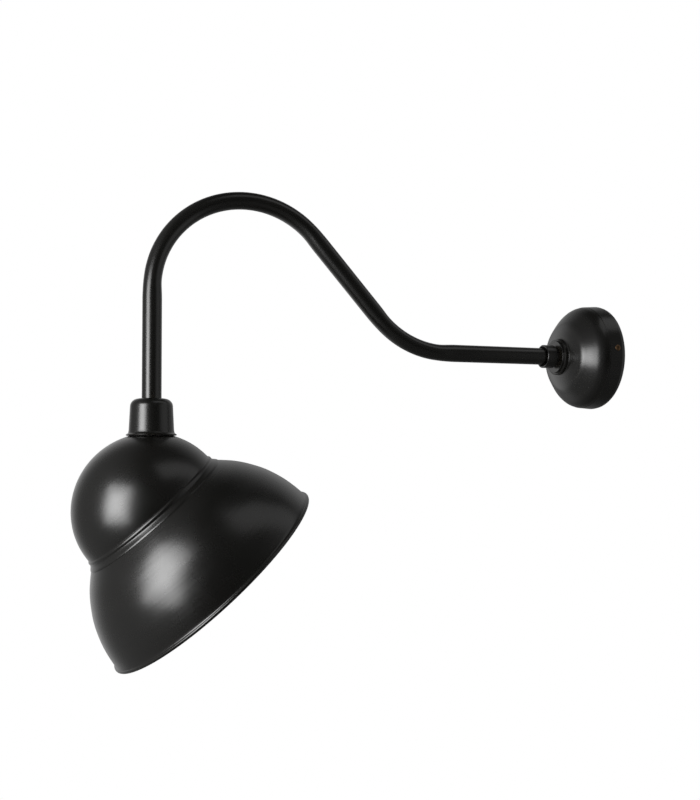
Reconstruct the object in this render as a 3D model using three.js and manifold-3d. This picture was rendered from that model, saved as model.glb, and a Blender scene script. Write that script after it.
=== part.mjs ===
// Gooseneck wall sconce, in millimetres
// The origin is the middle of the wall bracket's back face, +Y runs into the wall and +Z is up
import * as THREE from 'three';
import Module from 'manifold-3d';
import { mergeVertices } from 'three/addons/utils/BufferGeometryUtils.js';

const wasm = await Module();
wasm.setup();

const degree = Math.PI / 180;
const quarterTurn = Math.PI / 2;
const fullTurn = Math.PI * 2;

// Clearances that all pieces share
const seatGap = 0.3;
const threadGap = 0.3;
const overrun = 6;

// Arm: a bent tube
const tubeRadius = 10.65;
const tubeWall = 1.6;
const armReach = 570;
const legRise = 61.5;
const legDrop = 61.5;
const crestRadius = 107;
const dipRadius = 114;
const slopeAngle = 49 * degree;
const crestFlatShare = 0.075;
const dipFlatShare = 0.08;
const ovalSpreadShare = 0.6;
const ovalEase = 25;
const bendStep = 7.5 * degree;
const tubeSides = 14;

// Canopy: the bell cover at the wall
const canopyRadius = 65.5;
const rimTuck = 2.1;
const rimTuckDepth = 5;
const rimDraft = 1.2;
const rimDepth = 21.5;
const rimStep = 0.4;
const rimStepDepth = 0.5;
const canopyDepth = 58;
const canopySeatLedge = 1.7;
const canopyWall = 1.2;
const canopySides = 32;
const bellSteps = 9;
const rimTuckShares = [0.65, 0.35];
// Each point is a share of the bell's depth from its rim, and of its radius from its seat
const bellShares = [
  [1, 0], [0.945, 0.017], [0.888, 0.05], [0.841, 0.11], [0.808, 0.201], [0.742, 0.379],
  [0.611, 0.58], [0.416, 0.796], [0.321, 0.882], [0.227, 0.947], [0.118, 0.986], [0, 1],
];

// Collar and flange on the arm, in front of the canopy
const collarRecessWidth = 1.85;
const collarRecessDepth = 4;
const collarLip = 1.95;
const collarLength = 13.2;
const collarBevel = 1.6;
const neckWall = 2.25;
const neckLength = 3.4;
const flangeLedge = 5.75;
const flangeThickness = 3;
const flangeRound = 0.8;

// What clamps the arm inside the canopy
const armWasherWidth = 7.5;
const armWasherThickness = 1.2;
const armNutWall = 5;
const armNutThickness = 6;
const armTailLength = 4;
const bushFlangeThickness = 1.5;
const bushHubLength = 8;

// Wall bracket and the side screws that hold the canopy on it
const bracketTilt = 4.5 * degree;
const strapThickness = 2;
const strapWidth = 20;
const strapSlotWidth = 4.8;
const strapSlotLength = 15;
const slotShare = 0.592;
const slotPadMargin = 4;
const slotPadHeight = 0.6;
const earDepth = 18;
const sideScrewDepth = 11;
const sideScrewRadius = 1.9;
const sideScrewLength = 14;
const sideHeadRadius = 3.8;
const sideHeadHeight = 2.3;
const headSlotWidth = 0.9;
const headSlotDepth = 1;

// Terminal block and earth screw on the bracket
const polePitch = 10;
const poleNames = ['live', 'neutral', 'earth'];
const blockMargin = 1;
const blockDepth = 14;
const blockHeight = 18;
const wireHoleRadius = 1.7;
const wireHoleLength = 6;
const wireHoleHeight = 6;
const clampRadius = 1.7;
const clampSink = 0.6;
const clampSides = 10;
const blockScrewRadius = 1.3;
const blockScrewHeadRadius = 2.4;
const blockScrewHeadHeight = 1.6;
const earthClearance = 1.1;
const earthScrewRadius = 1.7;
const earthHeadRadius = 3.4;
const earthHeadHeight = 2.2;

// Cable and its cores
const cableRadius = 2.9;
const coreRadius = 1.05;
const coreSpread = 1.35;
const cableTail = 5;
const cableSteps = 62;
const coreSteps = 10;
const coreSides = 8;

// Threaded plug, nipple and nut at the arm's head end
const plugLength = 20;
const nippleRadius = 4.7;
const nippleBore = 3.5;
const nippleInPlug = 16;
const nippleInHolder = 4.6;
const capNutWidth = 14;
const capNutThickness = 4;
const grubRadius = 1.9;
const grubHeight = 4.8;
const grubSink = 0.5;
const grubSocketRadius = 0.9;
const grubSocketDepth = 1.2;
const grubInPlug = 3;

// Cap over the lampholder
const capAir = 1.8;
const capWall = 1.2;
const capShoulder = 8.6;
const capShoulderSteps = 4;
const capTaper = 1.2;
const capHeight = 39.2;
const capFlareWidth = 2.6;
const capFlareHeight = 4.8;
const capFlareShares = [[0, 1], [0.12, 0.55], [0.42, 0.2], [1, 0]];
const capSides = 24;

// Lampholder
const holderRadius = 20;
const holderCapWall = 1.8;
const holderCapTop = 2.6;
const holderCapLength = 22.4;
const holderCapRound = 2.4;
const holderBossRadius = 8;
const holderBossLength = 2.3;
const coreDiscDrop = 11.4;
const coreDiscThickness = 3.3;
const coreBodyDepth = 13.7;
const holderLength = 60.4;
const skirtInnerRadius = 15.2;
const flangeDrop = 33.6;
const holderFlangeLedge = 2;
const holderFlangeThickness = 2.2;
const holderMouthRound = 0.8;
const terminalPlace = 10;
const terminalHeadRadius = 2.6;
const terminalHeadHeight = 1.8;
const terminalShankRadius = 1.4;
const terminalShankLength = 5;
const shellRadius = 14.3;
const shellWall = 0.7;
const shellLength = 24.5;
const shellTopDrop = 3.2;
const shellLipRadius = 11.4;
const shellTabWidth = 5;
const contactWidth = 7;
const contactLength = 16;
const contactThickness = 0.6;
const contactPostRadius = 2;
const contactPostHeight = 1.5;
const holderSides = 24;
const smallSides = 12;

// Washer and ring that hold the shade
const washerWidth = 3.2;
const washerThickness = 0.8;
const ringHubWidth = 2;
const ringHubHeight = 2.4;
const ringLedge = 8;
const ringHeight = 5.5;
const ringRound = 1;
const ringNotches = 12;
const ringNotchSides = 6;
const ringNotchRadius = 1.4;

// Shade: a dome, a bead, a band and a bowl, all turned on one tilted axis
const shadeTilt = 41.5 * degree;
const domeRadius = 83.3;
const shadeWall = 1.2;
const landMargin = 0.8;
const shadeHoleClearance = 0.5;
const domePastCentre = -3.2;
const ridgeLength = 9.2;
const ridgeRise = 5.6;
const bandLength = 5;
const bandRise = 2.5;
const grooveDepth = 0.45;
const bowlLength = 90.2;
const bowlRise = 44.6;
const rollRadius = 2;
const rollSides = 6;
const shadeSides = 32;
const domeSteps = 10;
const bowlSteps = 7;
// Each point is a share of the ridge's length from the dome, and of its rise
const ridgeShares = [[0.12, 0.2], [0.293, 0.32], [0.587, 0.27], [0.804, 0.45], [0.924, 0.87], [1, 1]];
// Each point is a share of the bowl's length from the band, and of its rise
const bowlShares = [[0.013, 0.022], [0.122, 0.26], [0.255, 0.471], [0.432, 0.686], [0.632, 0.848],
  [0.809, 0.94], [1, 1]];

// Bulb
const baseRadius = 12.4;
const threadDepth = 0.75;
const threadPitch = 3.63;
const threadTurns = 5;
const loopsPerTurn = 4;
const threadFadeLoops = 3;
const baseLength = 23.5;
const baseWall = 0.7;
const baseSides = 14;
const tipRadius = 3.6;
const tipHeight = 1.7;
const tipShares = [[1, 1], [1, 0.6], [0.7, 0.15]];
const insulatorRim = 2.6;
const insulatorRing = 1.1;
const insulatorHeight = 3;
const insulatorTopShare = 0.5;
const bulbLength = 108;
const globeRadius = 30;
const globeInBase = 6;
const globeWall = 0.9;
const globeSides = 16;
const globeSteps = 10;
// Each point is a share of the globe's length below its base, and of its largest radius
const globeShares = [[0, 0.435], [0.1, 0.49], [0.25, 0.66], [0.42, 0.88], [0.61, 0.998],
  [0.78, 0.93], [0.9, 0.7], [0.97, 0.38], [1, 0]];

// Heights along the head's axis, each one worked out from the piece above it
const tubeInner = tubeRadius - tubeWall;
const tubeEnd = -legDrop;
const capTop = tubeEnd - seatGap;
const capCeiling = capTop - capWall;
const capNutTop = capCeiling - seatGap;
const holderTop = capNutTop - capNutThickness - seatGap;
const coreDiscTop = holderTop - coreDiscDrop;
const skirtTop = coreDiscTop - coreDiscThickness - seatGap;
const coreBottom = coreDiscTop - coreDiscThickness - coreBodyDepth;
const holderCapBottom = holderTop - holderCapLength;
const holderFlangeBottom = holderTop - flangeDrop;
const washerTop = holderFlangeBottom - seatGap;
const landHeight = washerTop - washerThickness - seatGap;
const shadeHole = holderRadius + shadeHoleClearance;
const landRadius = shadeHole + washerWidth + landMargin;
const holderBottom = holderTop - holderLength;
const ringTop = landHeight - shadeWall - seatGap;
const domeCentre = landHeight - Math.sqrt(domeRadius ** 2 - landRadius ** 2);
const shellTop = coreBottom - shellTopDrop;
const contactTop = coreBottom - seatGap - contactPostHeight;
const bulbTop = contactTop - contactThickness - seatGap;
const nippleBottom = holderTop - nippleInHolder;
const cableBottom = nippleBottom - seatGap - coreRadius;
const skirtNeckRadius = holderRadius - holderCapWall - threadGap;

// Depths along the arm's wall axis, each one worked out from the canopy
const canopyCeiling = canopyDepth - canopyWall;
const armWasherBack = canopyCeiling - seatGap - armWasherThickness;
const armNutBack = armWasherBack - seatGap - armNutThickness;
const tubeTail = armNutBack - armTailLength;
const bushBack = tubeTail - seatGap - bushFlangeThickness;
const cableTailEnd = bushBack - cableTail;
const flangeBack = canopyDepth + seatGap;
const flangeFront = flangeBack + flangeThickness;
const collarBack = flangeFront + seatGap;
const ringBack = collarBack + neckLength;
const collarFront = ringBack + collarLength;
const tubeClear = tubeRadius + seatGap;
const neckRadius = tubeClear + neckWall;
const collarRecessRadius = tubeClear + collarRecessWidth;
const collarRadius = collarRecessRadius + collarLip;
const flangeRadius = collarRadius + flangeLedge;
const canopySeatRadius = flangeRadius + canopySeatLedge;

// Finishes
function finish(color, roughness, metalness) {
  return new THREE.MeshStandardMaterial({ color, roughness, metalness });
}
const blackPaint = finish(0x1e1d1b, 0.36, 0.25);
const darkBronze = finish(0x3a2c1f, 0.4, 0.8);
const zincSteel = finish(0x9b9c98, 0.42, 0.9);
const brass = finish(0xb08d4a, 0.35, 0.95);
const blackPlastic = finish(0x161616, 0.5, 0);
const whiteCeramic = finish(0xe6e2d8, 0.3, 0);
const greyRubber = finish(0x3a3a3a, 0.85, 0);
const creamPlastic = finish(0xd9d4c4, 0.5, 0);
const blackCable = finish(0x202020, 0.6, 0);
const brownCore = finish(0x5b3420, 0.5, 0);
const blueCore = finish(0x2d5fa8, 0.5, 0);
const earthGreen = finish(0x5f9a3a, 0.5, 0);
const opalGlass = finish(0xf2f0ea, 0.25, 0);
const shellAluminium = finish(0xc2c3c4, 0.35, 0.9);
const blackGlass = finish(0x121214, 0.15, 0);

// Solids: a closed geometry becomes a solid, and a solid becomes a mesh
function toSolid(geometry) {
  const bare = geometry.clone();
  bare.deleteAttribute('normal');
  bare.deleteAttribute('uv');
  const merged = mergeVertices(bare);
  const place = merged.attributes.position;
  const index = merged.index.array;
  const corners = [];
  let volume = 0;
  const a = new THREE.Vector3();
  const b = new THREE.Vector3();
  const c = new THREE.Vector3();
  for (let i = 0; i < index.length; i += 3) {
    const [p, q, r] = [index[i], index[i + 1], index[i + 2]];
    if (p === q || q === r || r === p) continue;
    corners.push(p, q, r);
    a.fromBufferAttribute(place, p);
    b.fromBufferAttribute(place, q);
    c.fromBufferAttribute(place, r);
    volume += a.dot(b.cross(c));
  }
  if (volume < 0) corners.reverse();
  const vertProperties = new Float32Array(place.array);
  const triVerts = new Uint32Array(corners);
  return new wasm.Manifold(new wasm.Mesh({ numProp: 3, vertProperties, triVerts }));
}

function addMesh(group, name, solid, material) {
  const made = solid.getMesh();
  const geometry = new THREE.BufferGeometry();
  geometry.setAttribute('position', new THREE.BufferAttribute(new Float32Array(made.vertProperties), 3));
  geometry.setIndex(new THREE.BufferAttribute(new Uint32Array(made.triVerts), 1));
  geometry.computeVertexNormals();
  const mesh = new THREE.Mesh(geometry, material);
  mesh.name = name;
  group.add(mesh);
  return mesh;
}

// A closed outline of [radius, height] pairs turned about +Y
function turnedY(outline, sides) {
  const points = outline.map(([radius, height]) => new THREE.Vector2(Math.max(radius, 0), height));
  return new THREE.LatheGeometry([...points, points[0].clone()], sides);
}

// The same outline turned about +Z
function turnedZ(outline, sides) {
  return turnedY(outline, sides).rotateX(quarterTurn);
}

// A ring, or a disc where the bore is zero, about +Z
function ringZ(outer, bore, low, high, sides) {
  return turnedZ([[bore, low], [outer, low], [outer, high], [bore, high]], sides);
}

// A ring about +Y
function ringY(outer, bore, low, high, sides) {
  return turnedY([[bore, low], [outer, low], [outer, high], [bore, high]], sides);
}

// A cylinder about +X
function rodX(radius, from, to, sides) {
  const length = to - from;
  return new THREE.CylinderGeometry(radius, radius, length, sides)
    .rotateZ(quarterTurn)
    .translate(from + length / 2, 0, 0);
}

// A box between two corners
function block(low, high) {
  const size = high.map((value, i) => value - low[i]);
  const middle = high.map((value, i) => (value + low[i]) / 2);
  return new THREE.BoxGeometry(...size).translate(...middle);
}

// A six-sided nut about +Z
function nutZ(width, bore, low, high) {
  const outer = width / 2 / Math.cos(Math.PI / 6);
  const body = toSolid(ringZ(outer, 0, low, high, 6));
  return body.subtract(toSolid(ringZ(bore, 0, low - overrun, high + overrun, holderSides)));
}

// Points of a quarter circle or less, from one angle to another
function arcPoints(centreX, centreY, radius, from, to, steps) {
  const points = [];
  for (let i = 0; i <= steps; i += 1) {
    const angle = from + ((to - from) * i) / steps;
    points.push([centreX + radius * Math.cos(angle), centreY + radius * Math.sin(angle)]);
  }
  return points;
}

// Points along a smooth curve through a few given ones
function smoothPoints(points, steps) {
  const curve = new THREE.SplineCurve(points.map(([x, y]) => new THREE.Vector2(x, y)));
  return curve.getPoints(steps).map((p) => [p.x, p.y]);
}

// The outline of a thin sheet: its outer points, then those of them that are kept, moved in by the wall
function sheetOutline(outer, wall, inward, keep = () => true) {
  const last = outer.length - 1;
  const inner = outer.map(([x, y], i) => {
    const [x0, y0] = outer[Math.max(i - 1, 0)];
    const [x1, y1] = outer[Math.min(i + 1, last)];
    const length = Math.hypot(x1 - x0, y1 - y0);
    return [x - (inward * wall * (y1 - y0)) / length, y + (inward * wall * (x1 - x0)) / length];
  });
  const kept = inner.filter((_, i) => keep(i) || i === last);
  return [...outer, ...kept.reverse()];
}

// A round wire along a curve
function wire(curve, radius, steps) {
  const section = new THREE.Shape().absarc(0, 0, radius, 0, fullTurn);
  return new THREE.ExtrudeGeometry(section, { extrudePath: curve, steps, curveSegments: coreSides / 2 });
}

function coreAlong(points) {
  const curve = new THREE.CatmullRomCurve3(points.map((p) => new THREE.Vector3(...p)));
  return toSolid(wire(curve, coreRadius, coreSteps));
}

// An arc in the plane of the arm
class PlaneArc extends THREE.Curve {
  constructor(centreY, centreZ, radius, from, to) {
    super();
    Object.assign(this, { centreY, centreZ, radius, from, to });
  }

  getPoint(t, target = new THREE.Vector3()) {
    const angle = this.from + (this.to - this.from) * t;
    const y = this.centreY + this.radius * Math.cos(angle);
    const z = this.centreZ + this.radius * Math.sin(angle);
    return target.set(0, y, z);
  }
}

// The arm's line: wall axis, dip, slope, crest and leg
const rise = legRise + crestRadius * Math.cos(slopeAngle);
const slopeLength = (rise - dipRadius * (1 - Math.cos(slopeAngle))) / Math.sin(slopeAngle);
const crestY = -armReach + crestRadius;
const slopeTopY = crestY + crestRadius * Math.sin(slopeAngle);
const slopeLowY = slopeTopY + slopeLength * Math.cos(slopeAngle);
const slopeLowZ = rise - slopeLength * Math.sin(slopeAngle);
const dipY = slopeLowY + dipRadius * Math.sin(slopeAngle);

function armCurves(wallEnd, headEnd) {
  const wallPoint = new THREE.Vector3(0, -wallEnd, 0);
  const dipPoint = new THREE.Vector3(0, dipY, 0);
  const slopeLow = new THREE.Vector3(0, slopeLowY, slopeLowZ);
  const slopeTop = new THREE.Vector3(0, slopeTopY, rise);
  const legTop = new THREE.Vector3(0, -armReach, legRise);
  const headPoint = new THREE.Vector3(0, -armReach, headEnd);
  return [
    new THREE.LineCurve3(wallPoint, dipPoint),
    new PlaneArc(dipY, dipRadius, dipRadius, -quarterTurn, -quarterTurn - slopeAngle),
    new THREE.LineCurve3(slopeLow, slopeTop),
    new PlaneArc(crestY, legRise, crestRadius, quarterTurn - slopeAngle, Math.PI),
    new THREE.LineCurve3(legTop, headPoint),
  ];
}

// Stations along the arm: a place, a direction and how much the tube is flattened there
function armStations() {
  const curves = armCurves(tubeTail, tubeEnd);
  const bendShares = [0, dipFlatShare, 0, crestFlatShare, 0];
  const stations = [];
  curves.forEach((curve, k) => {
    const length = curve.getLength();
    const flat = bendShares[k];
    const marks = [];
    if (flat > 0) {
      const turn = Math.abs(curve.to - curve.from);
      const steps = Math.ceil(turn / bendStep);
      for (let i = 0; i <= steps; i += 1) marks.push(i / steps);
    } else {
      const ease = ovalEase / 2 / length;
      if (k === 0) marks.push(0);
      if (k > 0) marks.push(ease);
      if (k < curves.length - 1) marks.push(1 - ease);
      if (k === curves.length - 1) marks.push(1);
    }
    for (const t of marks) {
      const from = t * length;
      const inBend = Math.min(from, length - from) / (ovalEase / 2);
      const share = flat * THREE.MathUtils.smoothstep(0.5 + inBend / 2, 0, 1);
      stations.push({ place: curve.getPoint(t), along: curve.getTangent(t), share });
    }
  });
  return stations;
}

// One loop of tube points at a station
function tubeLoop(station, radius) {
  const side = new THREE.Vector3(1, 0, 0);
  const up = new THREE.Vector3().crossVectors(side, station.along).normalize();
  const half = radius * (1 - station.share);
  const wide = radius * (1 + station.share * ovalSpreadShare);
  const loop = [];
  for (let i = 0; i < tubeSides; i += 1) {
    const angle = (fullTurn * i) / tubeSides;
    const point = station.place.clone();
    point.addScaledVector(side, wide * Math.cos(angle));
    point.addScaledVector(up, half * Math.sin(angle));
    loop.push(point);
  }
  return loop;
}

function tubeSkin(stations, radius) {
  const positions = [];
  const index = [];
  for (const station of stations) {
    for (const point of tubeLoop(station, radius)) positions.push(point.x, point.y, point.z);
  }
  const loops = stations.length;
  for (let k = 0; k < loops - 1; k += 1) {
    for (let i = 0; i < tubeSides; i += 1) {
      const a = k * tubeSides + i;
      const b = k * tubeSides + ((i + 1) % tubeSides);
      index.push(a, b, a + tubeSides, b, b + tubeSides, a + tubeSides);
    }
  }
  for (let i = 1; i < tubeSides - 1; i += 1) {
    const last = (loops - 1) * tubeSides;
    index.push(0, i + 1, i, last, last + i, last + i + 1);
  }
  const geometry = new THREE.BufferGeometry();
  geometry.setAttribute('position', new THREE.Float32BufferAttribute(positions, 3));
  geometry.setIndex(index);
  return toSolid(geometry);
}

// The bore runs a little past both ends of the tube
function boreStations(stations) {
  const first = stations[0];
  const last = stations[stations.length - 1];
  const before = first.place.clone().addScaledVector(first.along, -overrun);
  const after = last.place.clone().addScaledVector(last.along, overrun);
  return [{ ...first, place: before }, ...stations.slice(1, -1), { ...last, place: after }];
}

const sconce = new THREE.Group();

function buildArm() {
  const stations = armStations();
  const outer = tubeSkin(stations, tubeRadius);
  const bore = tubeSkin(boreStations(stations), tubeInner);
  const grubHole = rodX(grubRadius + threadGap, 0, tubeRadius + overrun, smallSides);
  grubHole.translate(0, -armReach, tubeEnd + grubHeight);
  addMesh(sconce, 'gooseneck_arm', outer.subtract(bore).subtract(toSolid(grubHole)), blackPaint);
}

// The drum rim narrows a little toward the bell
function rimRadiusAt(depth) {
  return canopyRadius - (rimDraft * depth) / rimDepth;
}

// Bell points from the seat to the rim, as [radius, depth from the wall]
function bellPoints() {
  const frontRadius = canopyRadius - rimDraft - rimStep;
  const bellDepth = canopyDepth - rimDepth;
  const points = bellShares.map(([depthShare, radiusShare]) => {
    const radius = canopySeatRadius + radiusShare * (frontRadius - canopySeatRadius);
    return [radius, -(rimDepth + depthShare * bellDepth)];
  });
  return smoothPoints(points, bellSteps);
}

function buildCanopy() {
  const rimFront = canopyRadius - rimDraft;
  const [tuckShare, tuckDepthShare] = rimTuckShares;
  const outer = [
    [tubeClear, -canopyDepth],
    ...bellPoints(),
    [rimFront, -(rimDepth - rimStepDepth)],
    [canopyRadius, -rimTuckDepth],
    [canopyRadius - rimTuck * tuckDepthShare, -rimTuckDepth * (1 - tuckShare)],
    [canopyRadius - rimTuck, 0],
    [canopyRadius - rimTuck, canopyWall],
  ];
  const shell = toSolid(turnedY(sheetOutline(outer, canopyWall, 1), canopySides));
  const behindWall = toSolid(ringY(canopyRadius + overrun, 0, 0, overrun, canopySides));
  const armHole = toSolid(ringY(tubeClear, 0, -canopyDepth - overrun, -canopyCeiling + overrun, holderSides));
  const across = canopyRadius + overrun;
  const screwHole = rodX(sideScrewRadius + seatGap * 2, -across, across, smallSides);
  screwHole.translate(0, -sideScrewDepth, 0).rotateY(-bracketTilt);
  const canopy = shell.subtract(behindWall).subtract(armHole).subtract(toSolid(screwHole));
  addMesh(sconce, 'canopy', canopy, blackPaint);
}

function buildHub() {
  const collar = [
    [tubeClear, -collarBack],
    [neckRadius, -collarBack],
    [neckRadius, -ringBack],
    [collarRadius, -ringBack],
    [collarRadius, -(collarFront - collarBevel)],
    [collarRadius - collarBevel, -collarFront],
    [collarRecessRadius, -collarFront],
    [collarRecessRadius, -(collarFront - collarRecessDepth)],
    [tubeClear, -(collarFront - collarRecessDepth)],
  ];
  addMesh(sconce, 'hub_collar', toSolid(turnedY(collar, holderSides)), blackPaint);
  const flangeEdge = arcPoints(
    flangeRadius - flangeRound, -(flangeFront - flangeRound), flangeRound, 0, -quarterTurn, 3);
  const flange = [
    [tubeClear, -flangeBack],
    [flangeRadius, -flangeBack],
    ...flangeEdge,
    [tubeClear, -flangeFront],
  ];
  addMesh(sconce, 'hub_flange', toSolid(turnedY(flange, holderSides)), blackPaint);
  const washerFront = -(armWasherBack + armWasherThickness);
  const washer = ringY(tubeClear + armWasherWidth, tubeClear, washerFront, -armWasherBack, holderSides);
  addMesh(sconce, 'arm_washer', toSolid(washer), zincSteel);
  const nut = nutZ((tubeClear + armNutWall) * 2, tubeClear, 0, armNutThickness)
    .rotate([-90, 0, 0])
    .translate([0, -(armNutBack + armNutThickness), 0]);
  addMesh(sconce, 'arm_locknut', nut, zincSteel);
  const bush = [
    [cableRadius + seatGap, -bushBack],
    [tubeRadius, -bushBack],
    [tubeRadius, -(bushBack + bushFlangeThickness)],
    [tubeInner - seatGap, -(bushBack + bushFlangeThickness)],
    [tubeInner - seatGap, -(tubeTail + bushHubLength)],
    [cableRadius + seatGap, -(tubeTail + bushHubLength)],
  ];
  addMesh(sconce, 'tube_end_bush', toSolid(turnedY(bush, holderSides)), blackPlastic);
}

// Everything that turns with the bracket, which hangs a little off level
function buildBracket() {
  const wall = new THREE.Group();
  wall.rotation.y = -bracketTilt;
  sconce.add(wall);

  const halfWidth = strapWidth / 2;
  const padFront = strapThickness + slotPadHeight;
  const blockEnd = (poleNames.length * polePitch) / 2 + blockMargin;
  const earthPlace = blockEnd + earthClearance + earthHeadRadius;
  const rimInner = (canopyRadius - rimTuck - canopyWall) * Math.cos(Math.PI / canopySides);
  const earFace = Math.sqrt((rimInner - seatGap) ** 2 - halfWidth ** 2);
  const plate = toSolid(block([-earFace, -strapThickness, -halfWidth], [earFace, 0, halfWidth]));
  let strap = plate;
  for (const side of [-1, 1]) {
    const near = side * (earFace - strapThickness);
    const far = side * earFace;
    const low = [Math.min(near, far), -earDepth, -halfWidth];
    const high = [Math.max(near, far), 0, halfWidth];
    strap = strap.add(toSolid(block(low, high)));
    const straight = (strapSlotLength - strapSlotWidth) / 2;
    const slotCentre = side * slotShare * earFace;
    const padHalf = strapSlotWidth / 2 + slotPadMargin;
    const pad = block(
      [slotCentre - straight, -padFront, -padHalf],
      [slotCentre + straight, -strapThickness / 2, padHalf]);
    strap = strap.add(toSolid(pad));
    for (const end of [-straight, straight]) {
      const round = ringY(padHalf, 0, -padFront, -strapThickness / 2, smallSides);
      strap = strap.add(toSolid(round.translate(slotCentre + end, 0, 0)));
    }
    const slot = block(
      [slotCentre - straight, -padFront - overrun, -strapSlotWidth / 2],
      [slotCentre + straight, overrun, strapSlotWidth / 2]);
    strap = strap.subtract(toSolid(slot));
    for (const end of [-straight, straight]) {
      const round = ringY(strapSlotWidth / 2, 0, -padFront - overrun, overrun, smallSides);
      strap = strap.subtract(toSolid(round.translate(slotCentre + end, 0, 0)));
    }
  }
  const earHole = rodX(sideScrewRadius + threadGap, -canopyRadius, canopyRadius, smallSides);
  strap = strap.subtract(toSolid(earHole.translate(0, -sideScrewDepth, 0)));
  for (const [place, radius] of [[polePitch / 2, blockScrewRadius], [earthPlace, earthScrewRadius]]) {
    const hole = ringY(radius + threadGap, 0, -padFront - overrun, overrun, smallSides);
    strap = strap.subtract(toSolid(hole.translate(place, 0, 0)));
  }
  addMesh(wall, 'wall_bracket', strap, zincSteel);

  const headSeat = rimRadiusAt(sideScrewDepth - sideHeadRadius) + seatGap;
  for (const [side, name] of [[1, 'canopy_screw_right'], [-1, 'canopy_screw_left']]) {
    const dome = arcPoints(0, 0, 1, 0, quarterTurn, 4)
      .map(([x, y]) => [sideHeadRadius * x, headSeat + sideHeadHeight * y]);
    const profile = [
      [0, headSeat - sideScrewLength],
      [sideScrewRadius, headSeat - sideScrewLength],
      [sideScrewRadius, headSeat],
      ...dome,
    ];
    const screw = turnedY(profile, smallSides).rotateZ(-side * quarterTurn);
    const top = headSeat + sideHeadHeight;
    const cutLow = [side * (top - headSlotDepth), -headSlotWidth / 2, -sideHeadRadius - overrun];
    const cutHigh = [side * (top + overrun), headSlotWidth / 2, sideHeadRadius + overrun];
    const cut = block([Math.min(cutLow[0], cutHigh[0]), cutLow[1], cutLow[2]],
      [Math.max(cutLow[0], cutHigh[0]), cutHigh[1], cutHigh[2]]);
    const solid = toSolid(screw).subtract(toSolid(cut));
    addMesh(wall, name, solid, darkBronze).position.y = -sideScrewDepth;
  }

  const blockBack = strapThickness + seatGap;
  const blockFront = blockBack + blockDepth;
  const wireY = -(blockBack + wireHoleHeight);
  const blockLow = [-blockEnd, -blockFront, -blockHeight / 2];
  const blockHigh = [blockEnd, -blockBack, blockHeight / 2];
  let body = toSolid(block(blockLow, blockHigh));
  const clampPlace = blockHeight / 2 - wireHoleLength / 2;
  const clampFront = -blockFront + clampSink;
  const clampBack = wireY - coreRadius - seatGap;
  poleNames.forEach((poleName, k) => {
    const pole = (k - 1) * polePitch;
    for (const side of [-1, 1]) {
      const deep = side * (blockHeight / 2 - wireHoleLength);
      const out = side * (blockHeight / 2 + overrun);
      const wireHole = ringZ(wireHoleRadius, 0, Math.min(deep, out), Math.max(deep, out), clampSides);
      body = body.subtract(toSolid(wireHole.translate(pole, wireY, 0)));
      const clampHole = ringY(clampRadius + threadGap, 0, -blockFront - overrun, wireY, clampSides);
      body = body.subtract(toSolid(clampHole.translate(pole, 0, side * clampPlace)));
      const row = side > 0 ? 'lamp' : 'supply';
      const clamp = toSolid(ringY(clampRadius, 0, clampFront, clampBack, clampSides));
      const clampMesh = addMesh(wall, `clamp_screw_${row}_${poleName}`, clamp, brass);
      clampMesh.position.set(pole, 0, side * clampPlace);
    }
  });
  const fixingHole = ringY(blockScrewRadius + threadGap, 0, -blockFront - overrun, overrun, smallSides);
  body = body.subtract(toSolid(fixingHole.translate(polePitch / 2, 0, 0)));
  addMesh(wall, 'terminal_block', body, creamPlastic);

  const fixing = turnedY([
    [0, -strapThickness],
    [blockScrewRadius, -strapThickness],
    [blockScrewRadius, -blockFront - seatGap],
    [blockScrewHeadRadius, -blockFront - seatGap],
    [blockScrewHeadRadius, -blockFront - seatGap - blockScrewHeadHeight],
    [0, -blockFront - seatGap - blockScrewHeadHeight],
  ], smallSides);
  addMesh(wall, 'block_fixing_screw', toSolid(fixing), zincSteel).position.x = polePitch / 2;

  const eyeFront = padFront + seatGap * 2 + coreRadius * 2;
  const earth = turnedY([
    [0, 0],
    [earthScrewRadius, 0],
    [earthScrewRadius, -eyeFront],
    [earthHeadRadius, -eyeFront],
    [earthHeadRadius, -eyeFront - earthHeadHeight],
    [0, -eyeFront - earthHeadHeight],
  ], smallSides);
  addMesh(wall, 'earth_screw', toSolid(earth), brass).position.x = earthPlace;

  // Cores from the cable's end over the block's edge into its upper holes
  const wireTop = blockHeight / 2;
  const coreInside = wireTop - wireHoleLength / 2;
  const coreStart = -cableTailEnd + seatGap + coreRadius;
  const lampCores = [[-polePitch, 'block_core_live', brownCore], [0, 'block_core_neutral', blueCore]];
  for (const [pole, name, paint] of lampCores) {
    const startX = pole < 0 ? -coreSpread : coreSpread;
    const points = [
      [startX, coreStart, 0],
      [startX + pole * 0.2, coreStart * 0.8, wireTop * 0.5],
      [pole * 0.8, coreStart * 0.55, wireTop * 1.6],
      [pole, wireY * 1.45, wireTop * 2.1],
      [pole, wireY, wireTop * 1.7],
      [pole, wireY, coreInside],
    ];
    addMesh(wall, name, coreAlong(points), paint);
  }
  const besideScrew = earthPlace - (earthScrewRadius + threadGap + coreRadius);
  const earthLevel = -(padFront + seatGap + coreRadius);
  const earthPoints = [
    [polePitch, wireY, coreInside],
    [polePitch, wireY, wireTop * 1.5],
    [(polePitch + besideScrew) / 2, (wireY + earthLevel) / 2, wireTop * 1.95],
    [besideScrew, (wireY + earthLevel * 3) / 4, wireTop * 1.45],
    [besideScrew, earthLevel, wireTop * 0.8],
    [besideScrew, earthLevel, -earthHeadRadius],
  ];
  addMesh(wall, 'earth_core', coreAlong(earthPoints), earthGreen);
}

function buildCable() {
  const path = new THREE.CurvePath();
  for (const curve of armCurves(cableTailEnd, cableBottom)) path.add(curve);
  addMesh(sconce, 'arm_cable', toSolid(wire(path, cableRadius, cableSteps)), blackCable);
}

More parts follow.
